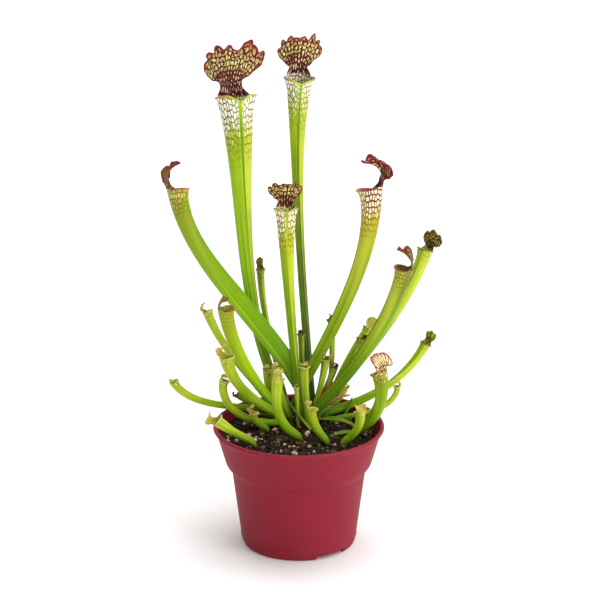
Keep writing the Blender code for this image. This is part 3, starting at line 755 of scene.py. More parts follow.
# %% Leaf tables
Pitcher = namedtuple(
    "Pitcher", "name foot heading length slope turn sag radius flare hood lean face size colour"
)
UPPER, YOUNG, DARK = "upper", "young", "dark"
PITCHERS = [
    Pitcher("tall_left", (-7.5, 26), 135, 230, (43, 83), 0.6, -13,
            (3.2, 13.0), (0.3, 4), (44, 37), (-12, 40), -30, "large", UPPER),
    Pitcher("tall_right", (10, 36), 103, 242, (67, 104), 1.2, 6,
            (2.7, 9.6), (0.1, 5), (34, 28), (-15, 25), -5, "large", UPPER),
    Pitcher("middle", (1.5, 14.5), 109, 150, (71, 91), 1.0, 5,
            (2.5, 7.6), (0.3, 4), (27, 17), (-15, 35), -15, "large", UPPER),
    Pitcher("left_arching", (8, 24.5), 160, 187, (68, 83), 1.8, 24,
            (3.2, 7.4), (0.3, 4), (16, 22), (-25, 60), 0, "large", UPPER),
    Pitcher("right_arching", (-5, 32.5), 14, 172, (64, 95), 1.8, 7,
            (2.8, 8.4), (0.3, 4), (22, 25), (-25, 80), 0, "large", UPPER),
    Pitcher("right_leaning", (8, 17.5), 355, 130, (46, 77), 1.2, 1,
            (3.0, 6.2), (0.3, 4), (15, 18), (5, 75), 0, "large", UPPER),
    Pitcher("far_right", (15.5, 32.5), 17, 139, (51, 73), 1.4, 7,
            (2.8, 5.2), (0.3, 4), (16, 14), (-5, 15), 40, "medium", DARK),
    Pitcher("red_hooded", (-11, 20), 187, 92, (49, 84), 1.3, 1,
            (2.6, 5.6), (0.5, 3), (9, 10), (0, 75), 0, "medium", UPPER),
    Pitcher("flared_left", (-11, 14), 197, 67, (35, 81), 1.6, 3,
            (2.4, 5.0), (0.5, 4), (12, 10), (0, 50), -45, "medium", YOUNG),
    Pitcher("veined_right", (36.5, -2), -14, 55, (7, 104), 0.8, -7,
            (2.8, 5.6), (0.6, 3), (17, 18), (-25, 85), -35, "medium", UPPER),
    Pitcher("front_tall", (2.5, -11), 203, 54, (-3, 99), 0.6, -10,
            (2.6, 4.1), (0.6, 3), (9, 9), (10, 110), 20, "medium", YOUNG),
    Pitcher("long_right", (16.5, 22.5), 9, 93, (13, 63), 1.5, -1,
            (2.0, 3.6), (0.5, 3), (9, 10), (0, 30), 60, "medium", DARK),
    Pitcher("trailing_left", (-17.5, 30), 189, 79, (14, 60), 3.1, 7,
            (2.0, 3.0), (0.5, 3), (5, 4), (20, 100), 0, "small", YOUNG),
    Pitcher("back_left", (-7, 40), 121, 104, (58, 88), 1.3, 6,
            (1.6, 2.8), (0.5, 3), (7, 9), (-10, 40), -20, "small", DARK),
    Pitcher("slender_left", (-13.5, 35.5), 166, 89, (43, 68), 1.3, 2,
            (1.8, 3.4), (0.5, 3), (7, 8), (0, 60), 0, "small", YOUNG),
    Pitcher("curved_left", (-6.5, 7), 181, 66, (-3, 106), 1.8, 0,
            (2.0, 3.2), (0.5, 3), (6, 6), (10, 110), 0, "small", YOUNG),
    Pitcher("rim_left", (-29.5, -21.5), 186, 32, (21, 40), 1.1, -3,
            (2.4, 4.0), (0.5, 3), (12, 8), (0, 60), -40, "small", YOUNG),
    Pitcher("stub_left", (-21, 3), 194, 18, (17, 88), 1.2, 2,
            (1.8, 2.9), (0.6, 3), (9, 6), (0, 70), -40, "small", YOUNG),
    Pitcher("pale_back", (-13.5, 26.5), 166, 33, (57, 91), 1.0, 0,
            (2.0, 3.4), (0.6, 3), (7, 6), (10, 100), 0, "small", YOUNG),
    Pitcher("pink_back", (-6, 16.5), 165, 37, (58, 92), 1.1, 0,
            (2.0, 3.4), (0.6, 3), (7, 6), (10, 100), 0, "small", YOUNG),
    Pitcher("centre_small", (7, 8), 110, 41, (69, 89), 1.1, 3,
            (2.2, 3.4), (0.6, 3), (7, 5), (30, 120), 0, "small", YOUNG),
    Pitcher("front_centre", (21, -19), 166, 27, (19, 88), 0.7, -1,
            (2.3, 3.7), (0.6, 3), (8, 7), (0, 70), 30, "small", YOUNG),
    Pitcher("front_right", (29, -19.5), 345, 29, (10, 95), 0.8, -2,
            (2.2, 3.6), (0.6, 3), (11, 8), (0, 110), -60, "small", YOUNG),
    Pitcher("low_right", (21.5, 17), -2, 59, (12, 89), 3.1, 3,
            (1.5, 2.2), (0.6, 3), (6, 5), (0, 80), 0, "small", YOUNG),
    Pitcher("back_right", (18, 38.5), 38, 67, (60, 43), 1.1, -1,
            (1.8, 3.4), (0.5, 3), (10, 11), (-5, 30), 50, "small", YOUNG),
    Pitcher("brown_back", (21, 35), 34, 58, (50, 69), 1.0, 0,
            (1.8, 3.2), (0.5, 3), (6, 5), (0, 90), 0, "small", DARK),
    Pitcher("back_centre", (19.5, 44), 64, 67, (62, 100), 1.0, -2,
            (1.6, 2.6), (0.5, 3), (6, 6), (0, 80), 0, "small", DARK),
    Pitcher("dark_middle", (3.5, 38.5), 102, 55, (78, 85), 1.0, 1,
            (1.6, 2.4), (0.5, 3), (5, 4), (0, 80), 0, "small", DARK),
    Pitcher("yellow_centre", (10, 30.5), 52, 38, (58, 82), 1.2, 3,
            (1.8, 3.0), (0.5, 3), (8, 5), (10, 80), 0, "small", YOUNG),
    Pitcher("tan_centre", (12.5, 41), 25, 33, (58, 73), 1.0, 2,
            (1.7, 2.8), (0.5, 3), (5, 5), (10, 100), 0, "small", DARK),
    Pitcher("thin_front", (0, 5), 98, 27, (43, 80), 0.7, -2,
            (1.2, 1.8), (0.5, 3), (3, 3), (10, 60), 0, "small", YOUNG),
    Pitcher("dark_left", (-16.5, 21.5), 182, 32, (29, 37), 1.0, 2,
            (1.5, 2.6), (0.5, 3), (5, 4), (0, 80), 0, "small", DARK),
    Pitcher("cream_right", (19, 28), 12, 24, (38, 69), 1.0, 1,
            (1.5, 2.6), (0.5, 3), (5, 4), (0, 80), 0, "small", YOUNG),
]

# One flat leaf without a pitcher: foot, heading, length, slope at foot and tip, turn, sag,
# half width at the foot and tip, and colour.
Strap = namedtuple("Strap", "name foot heading length slope turn sag half_width colour")
GREEN, DRIED = "green", "dried"
STRAPS = [
    Strap("dried_strap", (13, 26), -1, 29, (56, 4), 1.1, 0, (1.4, 1.6), DRIED),
    Strap("front_strap", (13, 15), -37, 34, (26, -13), 1.0, 1, (1.8, 1.4), GREEN),
    Strap("right_strap", (23.5, -4.5), -14, 18, (21, -2), 1.1, -1, (1.6, 1.4), GREEN),
    Strap("oval_strap", (13, 19.5), 15, 14, (48, 18), 1.1, -1, (1.8, 1.4), GREEN),
    Strap("hooked_strap", (29, 19.5), 15, 20, (47, 76), 1.0, 0, (1.3, 1.0), GREEN),
    Strap("short_strap", (9, 1.5), 155, 29, (37, 52), 1.0, 0, (2.2, 1.6), GREEN),
    Strap("left_strap", (-15.5, 17), 184, 13, (23, 18), 1.0, 0, (1.8, 1.6), GREEN),
]

print(len(PITCHERS), "pitchers and", len(STRAPS), "strap leaves")

# %% [markdown]
# ### What only a close look shows
# The model's leaves are plain; the real ones have ruffled hoods, a rolled lip with a spout,
# a wing down the front and a pinched neck under the hood. Those are the numbers here.
# Leaves share a row by size, and twelve have a row of their own.
# Fold is how far the hood's sides fold back, in degrees, and lobe how far they hang. Ruffle is
# in millimetres, waves and phase place it, and scallops and depth cut the margin. Pinch and
# stem shape the neck. Wing, spout and roll are in millimetres, tip tilts the mouth, and skew
# and carry move the hood sideways and forwards. Bumps are (place, size, reach) along the
# margin, for tails and notches.

# %% Forms
Form = namedtuple("Form", "fold ruffle waves lobe pinch wing spout roll phase tip scallops"
                          " depth stem skew carry bumps")
SIZE_FORMS = {
    "large": Form(25, 1.2, 5, 72, 0.66, 1.2, 1.6, 0.8, 0.0, 0.24, 7, 0.10, 0.7, 0, 0, ()),
    "medium": Form(30, 0.7, 3, 74, 0.84, 0.8, 0.9, 0.5, 0.5, 0.15, 4, 0.09, 0.6, 0, 0.5, ()),
    "small": Form(42, 0.6, 2, 80, 1.00, 0.45, 0.5, 0.36, 1.0, 0.10, 3, 0.08, 0.45, 0, 0.5, ()),
}
FORMS = {
    "tall_left": Form(
        14, 1.4, 6.2, 80, 0.64, 1.0, 4.6, 0.7, 0.6, 0.24, 8, 0.10, 0.60, -3.5, -1.0,
        ((-0.42, 0.15, 0.10), (-0.12, -0.17, 0.12), (-0.92, 0.20, 0.2), (0.4, 0.06, 0.3))),
    "tall_right": Form(
        16, 1.1, 6.0, 82, 0.78, 2.2, 2.6, 0.7, 2.2, 0.24, 8, 0.09, 0.34, -1.5, 0,
        ((-0.36, 0.10, 0.07), (-0.18, -0.08, 0.06), (0.3, 0.03, 0.2))),
    "middle": Form(
        18, 0.8, 5.0, 76, 0.80, 1.3, 2.6, 0.6, 1.0, 0.24, 6, 0.10, 0.5, 0, 0,
        ((0.2, -0.06, 0.1), (-0.3, -0.05, 0.08))),
    "left_arching": Form(
        42, 1.5, 3.0, 84, 0.64, 7.0, 0.6, 0.5, 0.3, 0.30, 4, 0.14, 0.6, 0, 4.5,
        ((0.0, 0.06, 0.2),)),
    "right_arching": Form(
        48, 1.5, 4.0, 84, 0.66, 2.4, 0.8, 0.8, 1.4, 0.28, 5, 0.14, 0.6, 0, 0.5,
        ((0.0, 0.12, 0.2),)),
    "right_leaning": Form(
        44, 1.4, 3.0, 80, 0.70, 1.8, 0.6, 0.6, 0.8, 0.02, 4, 0.14, 0.6, 0, 3.0,
        ((0.0, 0.06, 0.2),)),
    "far_right": Form(
        12, 0.8, 4.0, 84, 0.78, 0.8, 0.6, 0.5, 0.5, 0.2, 3, 0.16, 0.5, 0, 0,
        ((-0.05, 0.03, 0.08),)),
    "red_hooded": Form(
        40, 1.4, 3.0, 80, 0.70, 0.9, 0.6, 0.5, 0.2, 0.0, 4, 0.14, 0.5, 0, 2.5, ()),
    "flared_left": Form(
        40, 0.8, 3.0, 80, 1.00, 0.9, 0.5, 0.36, 0.6, 0.10, 3, 0.07, 0.4, 0, 1.5, ()),
    "veined_right": Form(
        8, 0.3, 4.0, 88, 0.98, 0.9, 0.5, 0.5, 0.5, 0.10, 12, 0.03, 0.55, 0, 0, ()),
    "long_right": Form(
        20, 0.6, 3.0, 78, 0.90, 2.2, 0.5, 0.4, 0.0, 0.10, 3, 0.10, 0.5, 0, 0, ()),
    "back_right": Form(
        12, 0.5, 3.0, 80, 0.90, 0.45, 0.5, 0.42, 1.0, 0.10, 4, 0.08, 0.6, 0, 0, ()),
}
print("own forms:", len(FORMS))

# %% [markdown]
# ## Building one pitcher leaf
# The tube could be an extruded curve and the hood a sculpted mesh. A grid is better here:
# rows run along the leaf and columns round it, so one formula sets the radius everywhere, and
# the hood simply carries on from the columns at the back of the mouth, as it does in life.

# %% Middle line and frames
def middle_line(leaf, foot_radius, shares):
    """Points and slopes at shares of a leaf's length: slope is first + (last - first) *
    share ** turn - sag * 4 * share * (1 - share), added up along the length."""
    fine = np.linspace(0, 1, 801)
    first, last = leaf.slope
    sagging = leaf.sag * 4 * fine * (1 - fine)
    slope = np.radians(first + (last - first) * fine ** leaf.turn - sagging)
    step = leaf.length / 800
    out = np.concatenate([[0], np.cumsum(np.cos(slope[:-1]) + np.cos(slope[1:])) * step / 2])
    up = np.concatenate([[0], np.cumsum(np.sin(slope[:-1]) + np.sin(slope[1:])) * step / 2])
    up += (foot_radius + 0.4) * cos(radians(first)) * (1 - np.exp(-fine * leaf.length / 2.5))
    heading = radians(leaf.heading)
    spots = np.stack([leaf.foot[0] + out * cos(heading), leaf.foot[1] + out * sin(heading),
                      float(ground(*leaf.foot)) + 0.3 + up], 1)
    points = np.stack([np.interp(shares, fine, spots[:, k]) for k in range(3)], 1)
    return points, np.interp(shares, fine, slope)


def frames(leaf, slope, twist):
    """Unit vectors along the leaf, towards the mouth's face, and to its side."""
    heading = radians(leaf.heading)
    level, upright = np.array([cos(heading), sin(heading), 0]), np.array([0, 0, 1.0])
    along = np.cos(slope)[:, None] * level + np.sin(slope)[:, None] * upright
    inner = np.cos(slope)[:, None] * upright - np.sin(slope)[:, None] * level
    across = np.cross(along, inner)
    face = np.cos(twist)[:, None] * inner + np.sin(twist)[:, None] * across
    return along, face, np.cross(along, face)


print("frames ready")

# %% Tube
SHOULDER = radians(72.0)
LIP_FLARES = {"large": 0.12, "medium": 0.16, "small": 0.26}
# rows along the tube, then columns for half the front, each side and the back, and hood rows
GRIDS = {"large": (84, 8, 16, 48, 38), "medium": (52, 5, 10, 24, 24), "small": (34, 3, 7, 14, 14)}
WALLS = {"large": 0.55, "medium": 0.45, "small": 0.38}


def ring_angles(size):
    """Angles round the tube: close together at the front wing and at the back, under the hood."""
    _, front, flank, back, _ = GRIDS[size]
    marks = [0, radians(12), pi - SHOULDER, pi + SHOULDER, tau - radians(12), tau]
    counts = [front, flank, back, flank, front]
    parts = [np.linspace(marks[k], marks[k + 1], counts[k], endpoint=False) for k in range(5)]
    first_back = front + flank
    return np.concatenate(parts), slice(first_back, first_back + back + 1)


def front_angle(face, across):
    """The angle round a leaf's ring that looks to the front of the plant, -Y."""
    return float(np.arctan2(-across[1], -face[1]))


def rim_height(form, radius, angle, front):
    """The rim dips in a bell at the spout, and the mouth tips up towards the plant's front."""
    turned = np.where(angle > pi, angle - tau, angle)
    return form.tip * radius * np.cos(angle - front) - form.spout * np.exp(-(turned / 0.36) ** 2)


def tube_sheet(leaf, form):
    """Rows of the tube. The radius grows as foot + (mouth - foot) * (even * share +
    (1 - even) * share ** power); a narrow bell at the front is the wing, a groove on each side
    of it a crease, and slow sines round the leaf are its folds. The last rows flare into the
    lip and follow the rim's height."""
    rows = GRIDS[leaf.size][0]
    share = 1 - (1 - np.linspace(0, 1, rows)) ** 1.25
    angle, back = ring_angles(leaf.size)
    points, slope = middle_line(leaf, leaf.radius[0], share)
    along, face, across = frames(leaf, slope, radians(leaf.face) * ease(share))
    even, power = leaf.flare
    foot, mouth = leaf.radius
    radius = foot + (mouth - foot) * (even * share + (1 - even) * share ** power)
    s, a = share[:, None], np.where(angle > pi, angle - tau, angle)[None, :]
    facing = 1 - ease(np.abs(a), pi - SHOULDER - 0.35, pi - SHOULDER)
    folds = 0.018 * np.sin(3 * a + 5 * s + form.phase) + 0.012 * np.sin(7 * a - 4 * s)
    folds = folds * ease(s, 0, 0.1) * (1 - 0.6 * ease(s, 0.85, 1))
    wide = radius[:, None] * (1 + folds + LIP_FLARES[leaf.size] * facing * ease(s, 0.955, 1.0))
    wing = form.wing * ease(s, 0.02, 0.15) * (1 - ease(s, 0.45, 0.99))
    wide = wide + wing * np.exp(-(a * radius[:, None] / (0.55 + 0.1 * form.wing)) ** 2)
    creased = 0.09 * ease(s, 0.03, 0.12) * (1 - ease(s, 0.45, 0.8))
    wide = wide * (1 - creased * np.exp(-((np.abs(a) - 0.75) / 0.16) ** 2))
    rise = rim_height(form, mouth, a, front_angle(face[-1], across[-1])) * ease(s, 0.93, 1.0)
    grid = (points[:, None] + (wide * np.cos(a))[..., None] * face[:, None]
            + (wide * np.sin(a))[..., None] * across[:, None] + rise[..., None] * along[:, None])
    sunk = ground(grid[0, :, 0], grid[0, :, 1]) - 0.6
    grid[0, :, 2] = sunk
    return grid, share, angle, back, (points[-1], along[-1], face[-1], across[-1]), radius[-1]


print("tube of", GRIDS["large"][0], "rows and", len(ring_angles("large")[0]), "columns")

# %% [markdown]
# ### The hood
# Think of a fan: near the mouth the rows are nearly straight and follow the round of the
# tube, then they open until the last row is the whole margin, from one hanging lobe over the
# top to the other. The fan is bent along its middle, folded back at its sides, and ruffled
# more and more towards the margin.

# %% Hood
LEAN_STEPS = 120


def hood_sheet(leaf, form, spread, mouth_frame, radius, rim_rise):
    """Rows of the hood. With v up the hood, u across it and open an ease of v, the place
    across is neck * (1 - open) + open * (v * half width * sin(lobe * u) / sin(lobe) + neck *
    (1 - v) ** 2 / 2), and the share of the height is v * (1 - open) + open * (start +
    (v - start) * cos(lobe * u) ** 0.65). Both fans are stretched by abs(sin) scallops and by
    bells at the bumps. Then the hood follows its lean, cups, folds back and ruffles as v ** 3."""
    width, height = leaf.hood
    rows = GRIDS[leaf.size][4]
    v = np.linspace(0, 1, rows + 1)[1:, None]
    u = spread[None, :]
    lobe = radians(form.lobe)
    opened = ease(v, 0.0, form.stem)
    neck = sin(SHOULDER) + (form.pinch - sin(SHOULDER)) * ease(v, 0, 0.17)
    stem = radius * neck * np.sin(u * SHOULDER) / sin(SHOULDER)
    fan_start = 0.10 + 0.15 * ease(form.stem, 0.4, 0.8)
    rounds = np.abs(np.sin(form.scallops * pi * (u + 1) / 2)) ** 0.7
    ragged = form.depth * (rounds - 0.6) - 0.10 * u ** 10
    for place_u, size, reach in form.bumps:
        ragged = ragged + size * np.exp(-((u - place_u) / reach) ** 2)
    ragged = 1 + ragged * v ** 3
    squared = np.cos(u * lobe) ** 0.65
    fan = v * ragged * width / 2 * np.sin(u * lobe) / sin(lobe)
    across = stem * (1 - opened) + opened * (fan + 0.5 * (1 - v) ** 2 * stem)
    across = across + form.skew * v ** 2
    up = v * (1 - opened) + opened * (fan_start + (v - fan_start) * ragged * squared)
    lean = np.radians(np.linspace(leaf.lean[0], leaf.lean[1], LEAN_STEPS + 1))
    middle = (lean[1:] + lean[:-1]) / 2
    marks = np.linspace(0, 1.0, LEAN_STEPS + 1)
    step = height / LEAN_STEPS
    rise = np.interp(up, marks, np.concatenate([[0], np.cumsum(np.cos(middle))]) * step)
    fore = np.interp(up, marks, np.concatenate([[0], np.cumsum(np.sin(middle))]) * step)
    over = np.maximum(up - 1, 0) * height
    tilt = np.interp(up, marks, lean)
    rise, fore = rise + over * np.cos(tilt), fore + over * np.sin(tilt)
    held = np.clip(np.abs(across) / radius, 0, 0.97)
    cupped = radius * (1 - np.sqrt(1 - held ** 2)) * (1 - ease(v, 0.05, 0.6))
    beta = radians(form.fold) * ease(v, 0.15, 0.75)
    soft = np.sqrt(across ** 2 + 4) - 2
    wave = form.ruffle * v ** 3 * np.sin(form.waves * u * pi + form.phase)
    wave = wave + 0.3 * form.ruffle * v ** 5 * np.sin(2.3 * form.waves * u * pi + 1)
    outward = soft * np.sin(beta) + wave
    centre, along, face, sideways = mouth_frame
    lift = rise + rim_rise[None, :] * (1 - ease(v, 0, 0.25)) + outward * np.sin(tilt)
    forward = -radius + cupped + fore - outward * np.cos(tilt) + form.carry * v ** 1.5
    return (centre + forward[..., None] * face + lift[..., None] * along
            - (across * np.cos(beta))[..., None] * sideways)


print("hood rows:", GRIDS["large"][4])

# %% [markdown]
# ### The rolled lip
# The front of the mouth curls outward into a smooth, shiny roll that makes nectar. It could be
# part of the tube's grid, but it has its own finish, so it is a bead swept along the rim,
# tapering to nothing where it meets the hood's shoulders.

# %% Lip
def lip_bead(leaf, form, mouth_frame, radius, steps):
    """Closed rings of an oval section swept from one shoulder round the front to the other."""
    bend = np.linspace(-(pi - SHOULDER) - 0.12, pi - SHOULDER + 0.12, steps)
    section = np.linspace(0, tau, 13)[:-1]
    taper = np.sqrt(np.clip(1 - (np.abs(bend) / (pi - SHOULDER + 0.125)) ** 6, 0.02, 1))
    thick = form.roll * taper * (1 + 0.18 * np.cos(2 * bend + form.phase))
    facing = 1 - ease(np.abs(bend), pi - SHOULDER - 0.35, pi - SHOULDER)
    out = radius * (1 + LIP_FLARES[leaf.size] * facing) - 0.15
    centre, along, face, sideways = mouth_frame
    rise = rim_height(form, radius, bend, front_angle(face, sideways))
    radial = np.cos(bend)[:, None] * face + np.sin(bend)[:, None] * sideways
    middle = (centre + (out + 0.55 * thick)[:, None] * radial
              + (rise - 0.25 * thick)[:, None] * along)
    grid = (middle[:, None]
            + (thick[:, None] * np.cos(section))[..., None] * radial[:, None]
            + (1.15 * thick[:, None] * np.sin(section))[..., None] * along)
    around = np.where(bend < 0, bend + tau, bend) / tau
    return grid, around


print("lip bead ready")


# %% Whole leaf
NET_STRETCH = 1.5
NET_FADE = 70.0
LIP_STEPS = {"large": 72, "medium": 44, "small": 28}


def build_pitcher(leaf, finish, lip_finish, cell, number):
    """One leaf: tube and hood as one sheet with a wall, plus the lip; cell is a net mesh in mm.
    The net map counts meshes round the leaf and down from the mouth, where a distance d is
    stretched to NET_FADE * log(1 + d / NET_FADE), so that meshes grow longer lower down."""
    form = FORMS.get(leaf.name, SIZE_FORMS[leaf.size])
    tube, share, angle, back, mouth_frame, radius = tube_sheet(leaf, form)
    rows, columns = tube.shape[:2]
    spread = (angle[back] - pi) / SHOULDER
    front = front_angle(mouth_frame[2], mouth_frame[3])
    rim_rise = rim_height(form, radius, angle[back], front)
    hood = hood_sheet(leaf, form, spread, mouth_frame, radius, rim_rise)
    points = np.concatenate([tube.reshape(-1, 3), hood.reshape(-1, 3)])
    numbers = np.arange(rows * columns).reshape(rows, columns)
    hood_numbers = rows * columns + np.arange(hood.shape[0] * hood.shape[1])
    hood_numbers = np.concatenate([numbers[-1:, back], hood_numbers.reshape(hood.shape[:2])])
    tube_quads = corners_of(np.concatenate([numbers, numbers[:, :1]], axis=1))
    quads = np.concatenate([tube_quads, corners_of(hood_numbers)])

    turn = np.append(angle, tau) / tau
    meshes = max(6, round(tau * radius / cell))
    up_tube = np.repeat(share[:, None], columns + 1, 1)
    round_tube = np.repeat(turn[None], rows, 0)
    up_hood = np.repeat(np.linspace(0, 1, hood.shape[0] + 1)[:, None], hood.shape[1], 1)
    round_hood = np.repeat(turn[back][None], hood.shape[0] + 1, 0)
    high = leaf.hood[1] / (NET_STRETCH * cell)
    below = NET_FADE * np.log(1 + (1 - up_tube) * leaf.length / NET_FADE)
    shift = 31.7 * number
    tube_uvs = np.stack([up_tube, round_tube, round_tube * meshes + shift,
                         -below / (NET_STRETCH * cell)], -1)
    hood_uvs = np.stack([1 + up_hood, round_hood, round_hood * meshes + shift,
                         up_hood * high], -1)
    corner_uvs = np.concatenate([corners_of(tube_uvs), corners_of(hood_uvs)])
    points, quads, corner_uvs = thicken(points, quads, corner_uvs, WALLS[leaf.size])

    steps = LIP_STEPS[leaf.size]
    bead, around = lip_bead(leaf, form, mouth_frame, radius, steps)
    first = len(points)
    bead_quads = grid_quads(*bead.shape[:2], first, closed=True)[:, ::-1]
    around = np.repeat(around[:, None], 13, 1)
    bead_values = np.stack([np.ones_like(around), around, around * meshes,
                            np.repeat(np.linspace(0, 1, 13)[None], steps, 0)], -1)
    bead_uvs = corners_of(bead_values)[:, ::-1]
    ends = [list(range(first, first + 12)),
            list(range(first + 12 * steps - 1, first + 12 * steps - 13, -1))]
    faces = quads.tolist() + bead_quads.tolist() + ends
    every = np.concatenate([corner_uvs.reshape(-1, 4), bead_uvs.reshape(-1, 4),
                            np.repeat(bead_uvs[:1, 0], 24, 0)])
    points = np.concatenate([points, bead.reshape(-1, 3)])
    materials = [0] * len(quads) + [1] * (len(bead_quads) + 2)
    return make_piece(leaf.name + "_leaf", points, faces,
                      {"zone": every[:, :2], "net": every[:, 2:]}, [finish, lip_finish], materials)


print("leaf builder ready")

# %% [markdown]
# ## The leaf finishes
# A pitcher is green below and turns yellow-green. Near the mouth its skin has pale windows
# between a net of veins that goes from green to dark red. On the hood the net is dense and
# red over cream, and the margin is a band of crimson or dull pink. It could be three materials,
# but one finish that reads how far along and how far round a point lies needs no seams.
# Along runs from 0 at the foot to 1 at the mouth and 2 at the hood's margin; around runs from
# 0 at the front seam through 0.5 at the back to 1 at the front again.
#
# First the green skin: a ramp along the leaf, fine streaks and clouds, a painted highlight that
# makes one flank lighter yellow, painted shade in the crease at each side of the front, and the
# seam itself.

# %% Green skin
CREASE_AT = 0.119


def green_skin(tree, look, along, around, from_wing, streak, cloud):
    """Colour of the tube without its windows; each line lays one feature over the last."""
    fine = use_group(tree, streak_group, Count=4.5)["Streak"]
    skin = ramp(tree, along, [(0.0, look["foot"]), (0.16, look["low"]), (0.5, look["middle"]),
                              (0.85, look["high"])])
    # painted highlight: one flank of the tube, halfway up, is made lighter yellow as if the sun
    # fell on it
    painted_sunlit_side = times(tree, between(tree, around, 0.005, 0.03), between(tree, around, 0.34, 0.20),
                  between(tree, along, 0.35, 0.7))
    # painted shade: the crease at each side of the front is darkened with the foot colour, where
    # the fold would lie in shade
    painted_crease_shade = times(tree, between(tree, away_from(tree, from_wing, CREASE_AT), 0.022, 0.003),
                   between(tree, along, 0.75, 0.45))
    turned = between(tree, along, look["wing_to"], look["wing_to"] + 0.2)
    wing = times(tree, between(tree, from_wing, look["seam_width"], 0.006),
                 between(tree, along, 1.0, 0.9))
    for mask, strength, colour in (
            (streak, 0.55, look["low"]), (fine, 0.22, look["foot"]),
            (cloud, 0.18, look["high"]), (painted_sunlit_side, 0.7, look["painted_sunlit_side"]),
            (painted_crease_shade, 0.6, look["foot"]),
            (wing, 0.8, mix(tree, turned, look["wing"], look["seam"]))):
        skin = mix(tree, times(tree, mask, strength), skin, colour)
    return skin


print("green skin ready")

# %% [markdown]
# Then the net. It is coarse on the tube, closer on the neck of the hood, and fans out above.
# Every mesh of it has its own random number, so that where the windows start, single meshes
# turn pale one by one. The seam at the front stays free of windows and veins.

# %% Net of the whole leaf
def leaf_net(tree, look, along, ahead, on_hood, high_hood):
    """The net's lines as 0 to 1, and the random number of each mesh on the tube."""
    width = look["width"]
    closing = maths(tree, "ADD", times(tree, between(tree, ahead, 0.10, 0.0), width * 0.25),
                    width)
    coarse = use_group(tree, net_group, Across=1.0, Width=closing, Wander=0.35)
    neck = use_group(tree, net_group, Across=1.0, Width=width * 1.7, Wander=0.3)
    fan = use_group(tree, net_group, Across=1.25, Width=width * 1.3, Wander=0.5)
    neck_lines = maths(tree, "MAXIMUM", neck["Net"], neck["Rib"])
    fan_lines = mix(tree, look["ribs"], fan["Net"], fan["Rib"])
    hood_lines = between(tree, mix(tree, high_hood, neck_lines, fan_lines), 0.05, 0.5)
    tube_lines = between(tree, coarse["Net"], 0.16, 0.75)
    return mix(tree, on_hood, tube_lines, hood_lines), coarse["Cell"]


# %% Pitcher finish
def pitcher_finish(name, look):
    """Skin, windows, veins, stain and margin, laid over each other in that order."""
    look = {key: screen(*value) if isinstance(value, tuple) else value
            for key, value in look.items()}
    finish, tree, shader = new_finish(name, roughness=0.46, coat=0.05)
    shader.inputs["Specular IOR Level"].default_value = 0.14
    along, around = split_uv(tree, "zone")
    from_back = away_from(tree, around, 0.5)
    from_wing = maths(tree, "SUBTRACT", 0.5, from_back)
    cloud = use_group(tree, mottle_group, Size=90.0)["Cloud"]
    streak = use_group(tree, streak_group, Count=1.7)["Streak"]
    colour = green_skin(tree, look, along, around, from_wing, streak, cloud)

    start = maths(tree, "ADD", times(tree, from_back, look["front_delay"]), look["window_from"])
    ahead = maths(tree, "SUBTRACT", along, start)
    on_hood = between(tree, along, 1.0, 1.06)
    high_hood = between(tree, along, 1.30, 1.6)
    net, mesh_number = leaf_net(tree, look, along, ahead, on_hood, high_hood)
    beside_seam = maths(tree, "MAXIMUM", between(tree, from_wing, 0.006, 0.032), on_hood)

    jump = times(tree, mesh_number, 0.12)
    window = times(tree, between(tree, maths(tree, "SUBTRACT", ahead, jump), -0.07, 0.05),
                   look["whiteness"], beside_seam)
    pane = look["haze"]
    for value, low, high, next_pane in ((ahead, 0.0, 0.09, "window"), (along, 1.0, 1.35, "hood"),
                                        (along, 1.6, 1.98, "hood_top")):
        pane = mix(tree, between(tree, value, low, high), pane, look[next_pane])
    colour = mix(tree, times(tree, window, maths(tree, "SUBTRACT", 1.0, net)), colour, pane)

    reddened = times(tree, between(tree, along, look["red_from"], 0.97),
                     between(tree, from_wing, 0.03, 0.16))
    reddened = maths(tree, "MAXIMUM", reddened, on_hood)
    vein = mix(tree, reddened, look["vein_low"], look["vein_top"])
    vein = mix(tree, on_hood, vein, look["vein_high"])
    vein_share = times(tree, net, between(tree, ahead, -0.10, 0.03), beside_seam,
                       look["vein_strength"])
    colour = mix(tree, vein_share, colour, vein)
    stain = times(tree, high_hood, between(tree, cloud, 0.2, 0.9), look["stain"])
    colour = mix(tree, stain, colour, look["vein_high"])

    top_edge = between(tree, along, look["band"], 1.975)
    side_edge = times(tree, between(tree, from_back, 0.186, 0.198), on_hood)
    edge = maths(tree, "MAXIMUM", top_edge, side_edge)
    colour = mix(tree, times(tree, edge, 0.85), colour, look["margin"])
    tree.links.new(colour, shader.inputs["Base Color"])

    relief = maths(tree, "ADD", times(tree, vein_share, 0.7), times(tree, streak, 0.35))
    bump = node(tree, "Bump", Height=relief, Strength=0.35, Distance=0.0004)
    tree.links.new(bump.outputs["Normal"], shader.inputs["Normal"])
    return finish


print("net and finish recipes ready")

# %% [markdown]
# ### The colours of each leaf
# Ten leaves have colours of their own and the others share a row by class. Each row starts
# from a plainer one and names only what differs. Foot, low, middle and high are the skin from
# the ground up. Haze, window, hood and hood_top are the panes, and vein_low, vein_top and
# vein_high the veins, again from below. The plain numbers say where windows and red veins
# start, how wide and strong the veins are, and how far the seam and the margin reach.

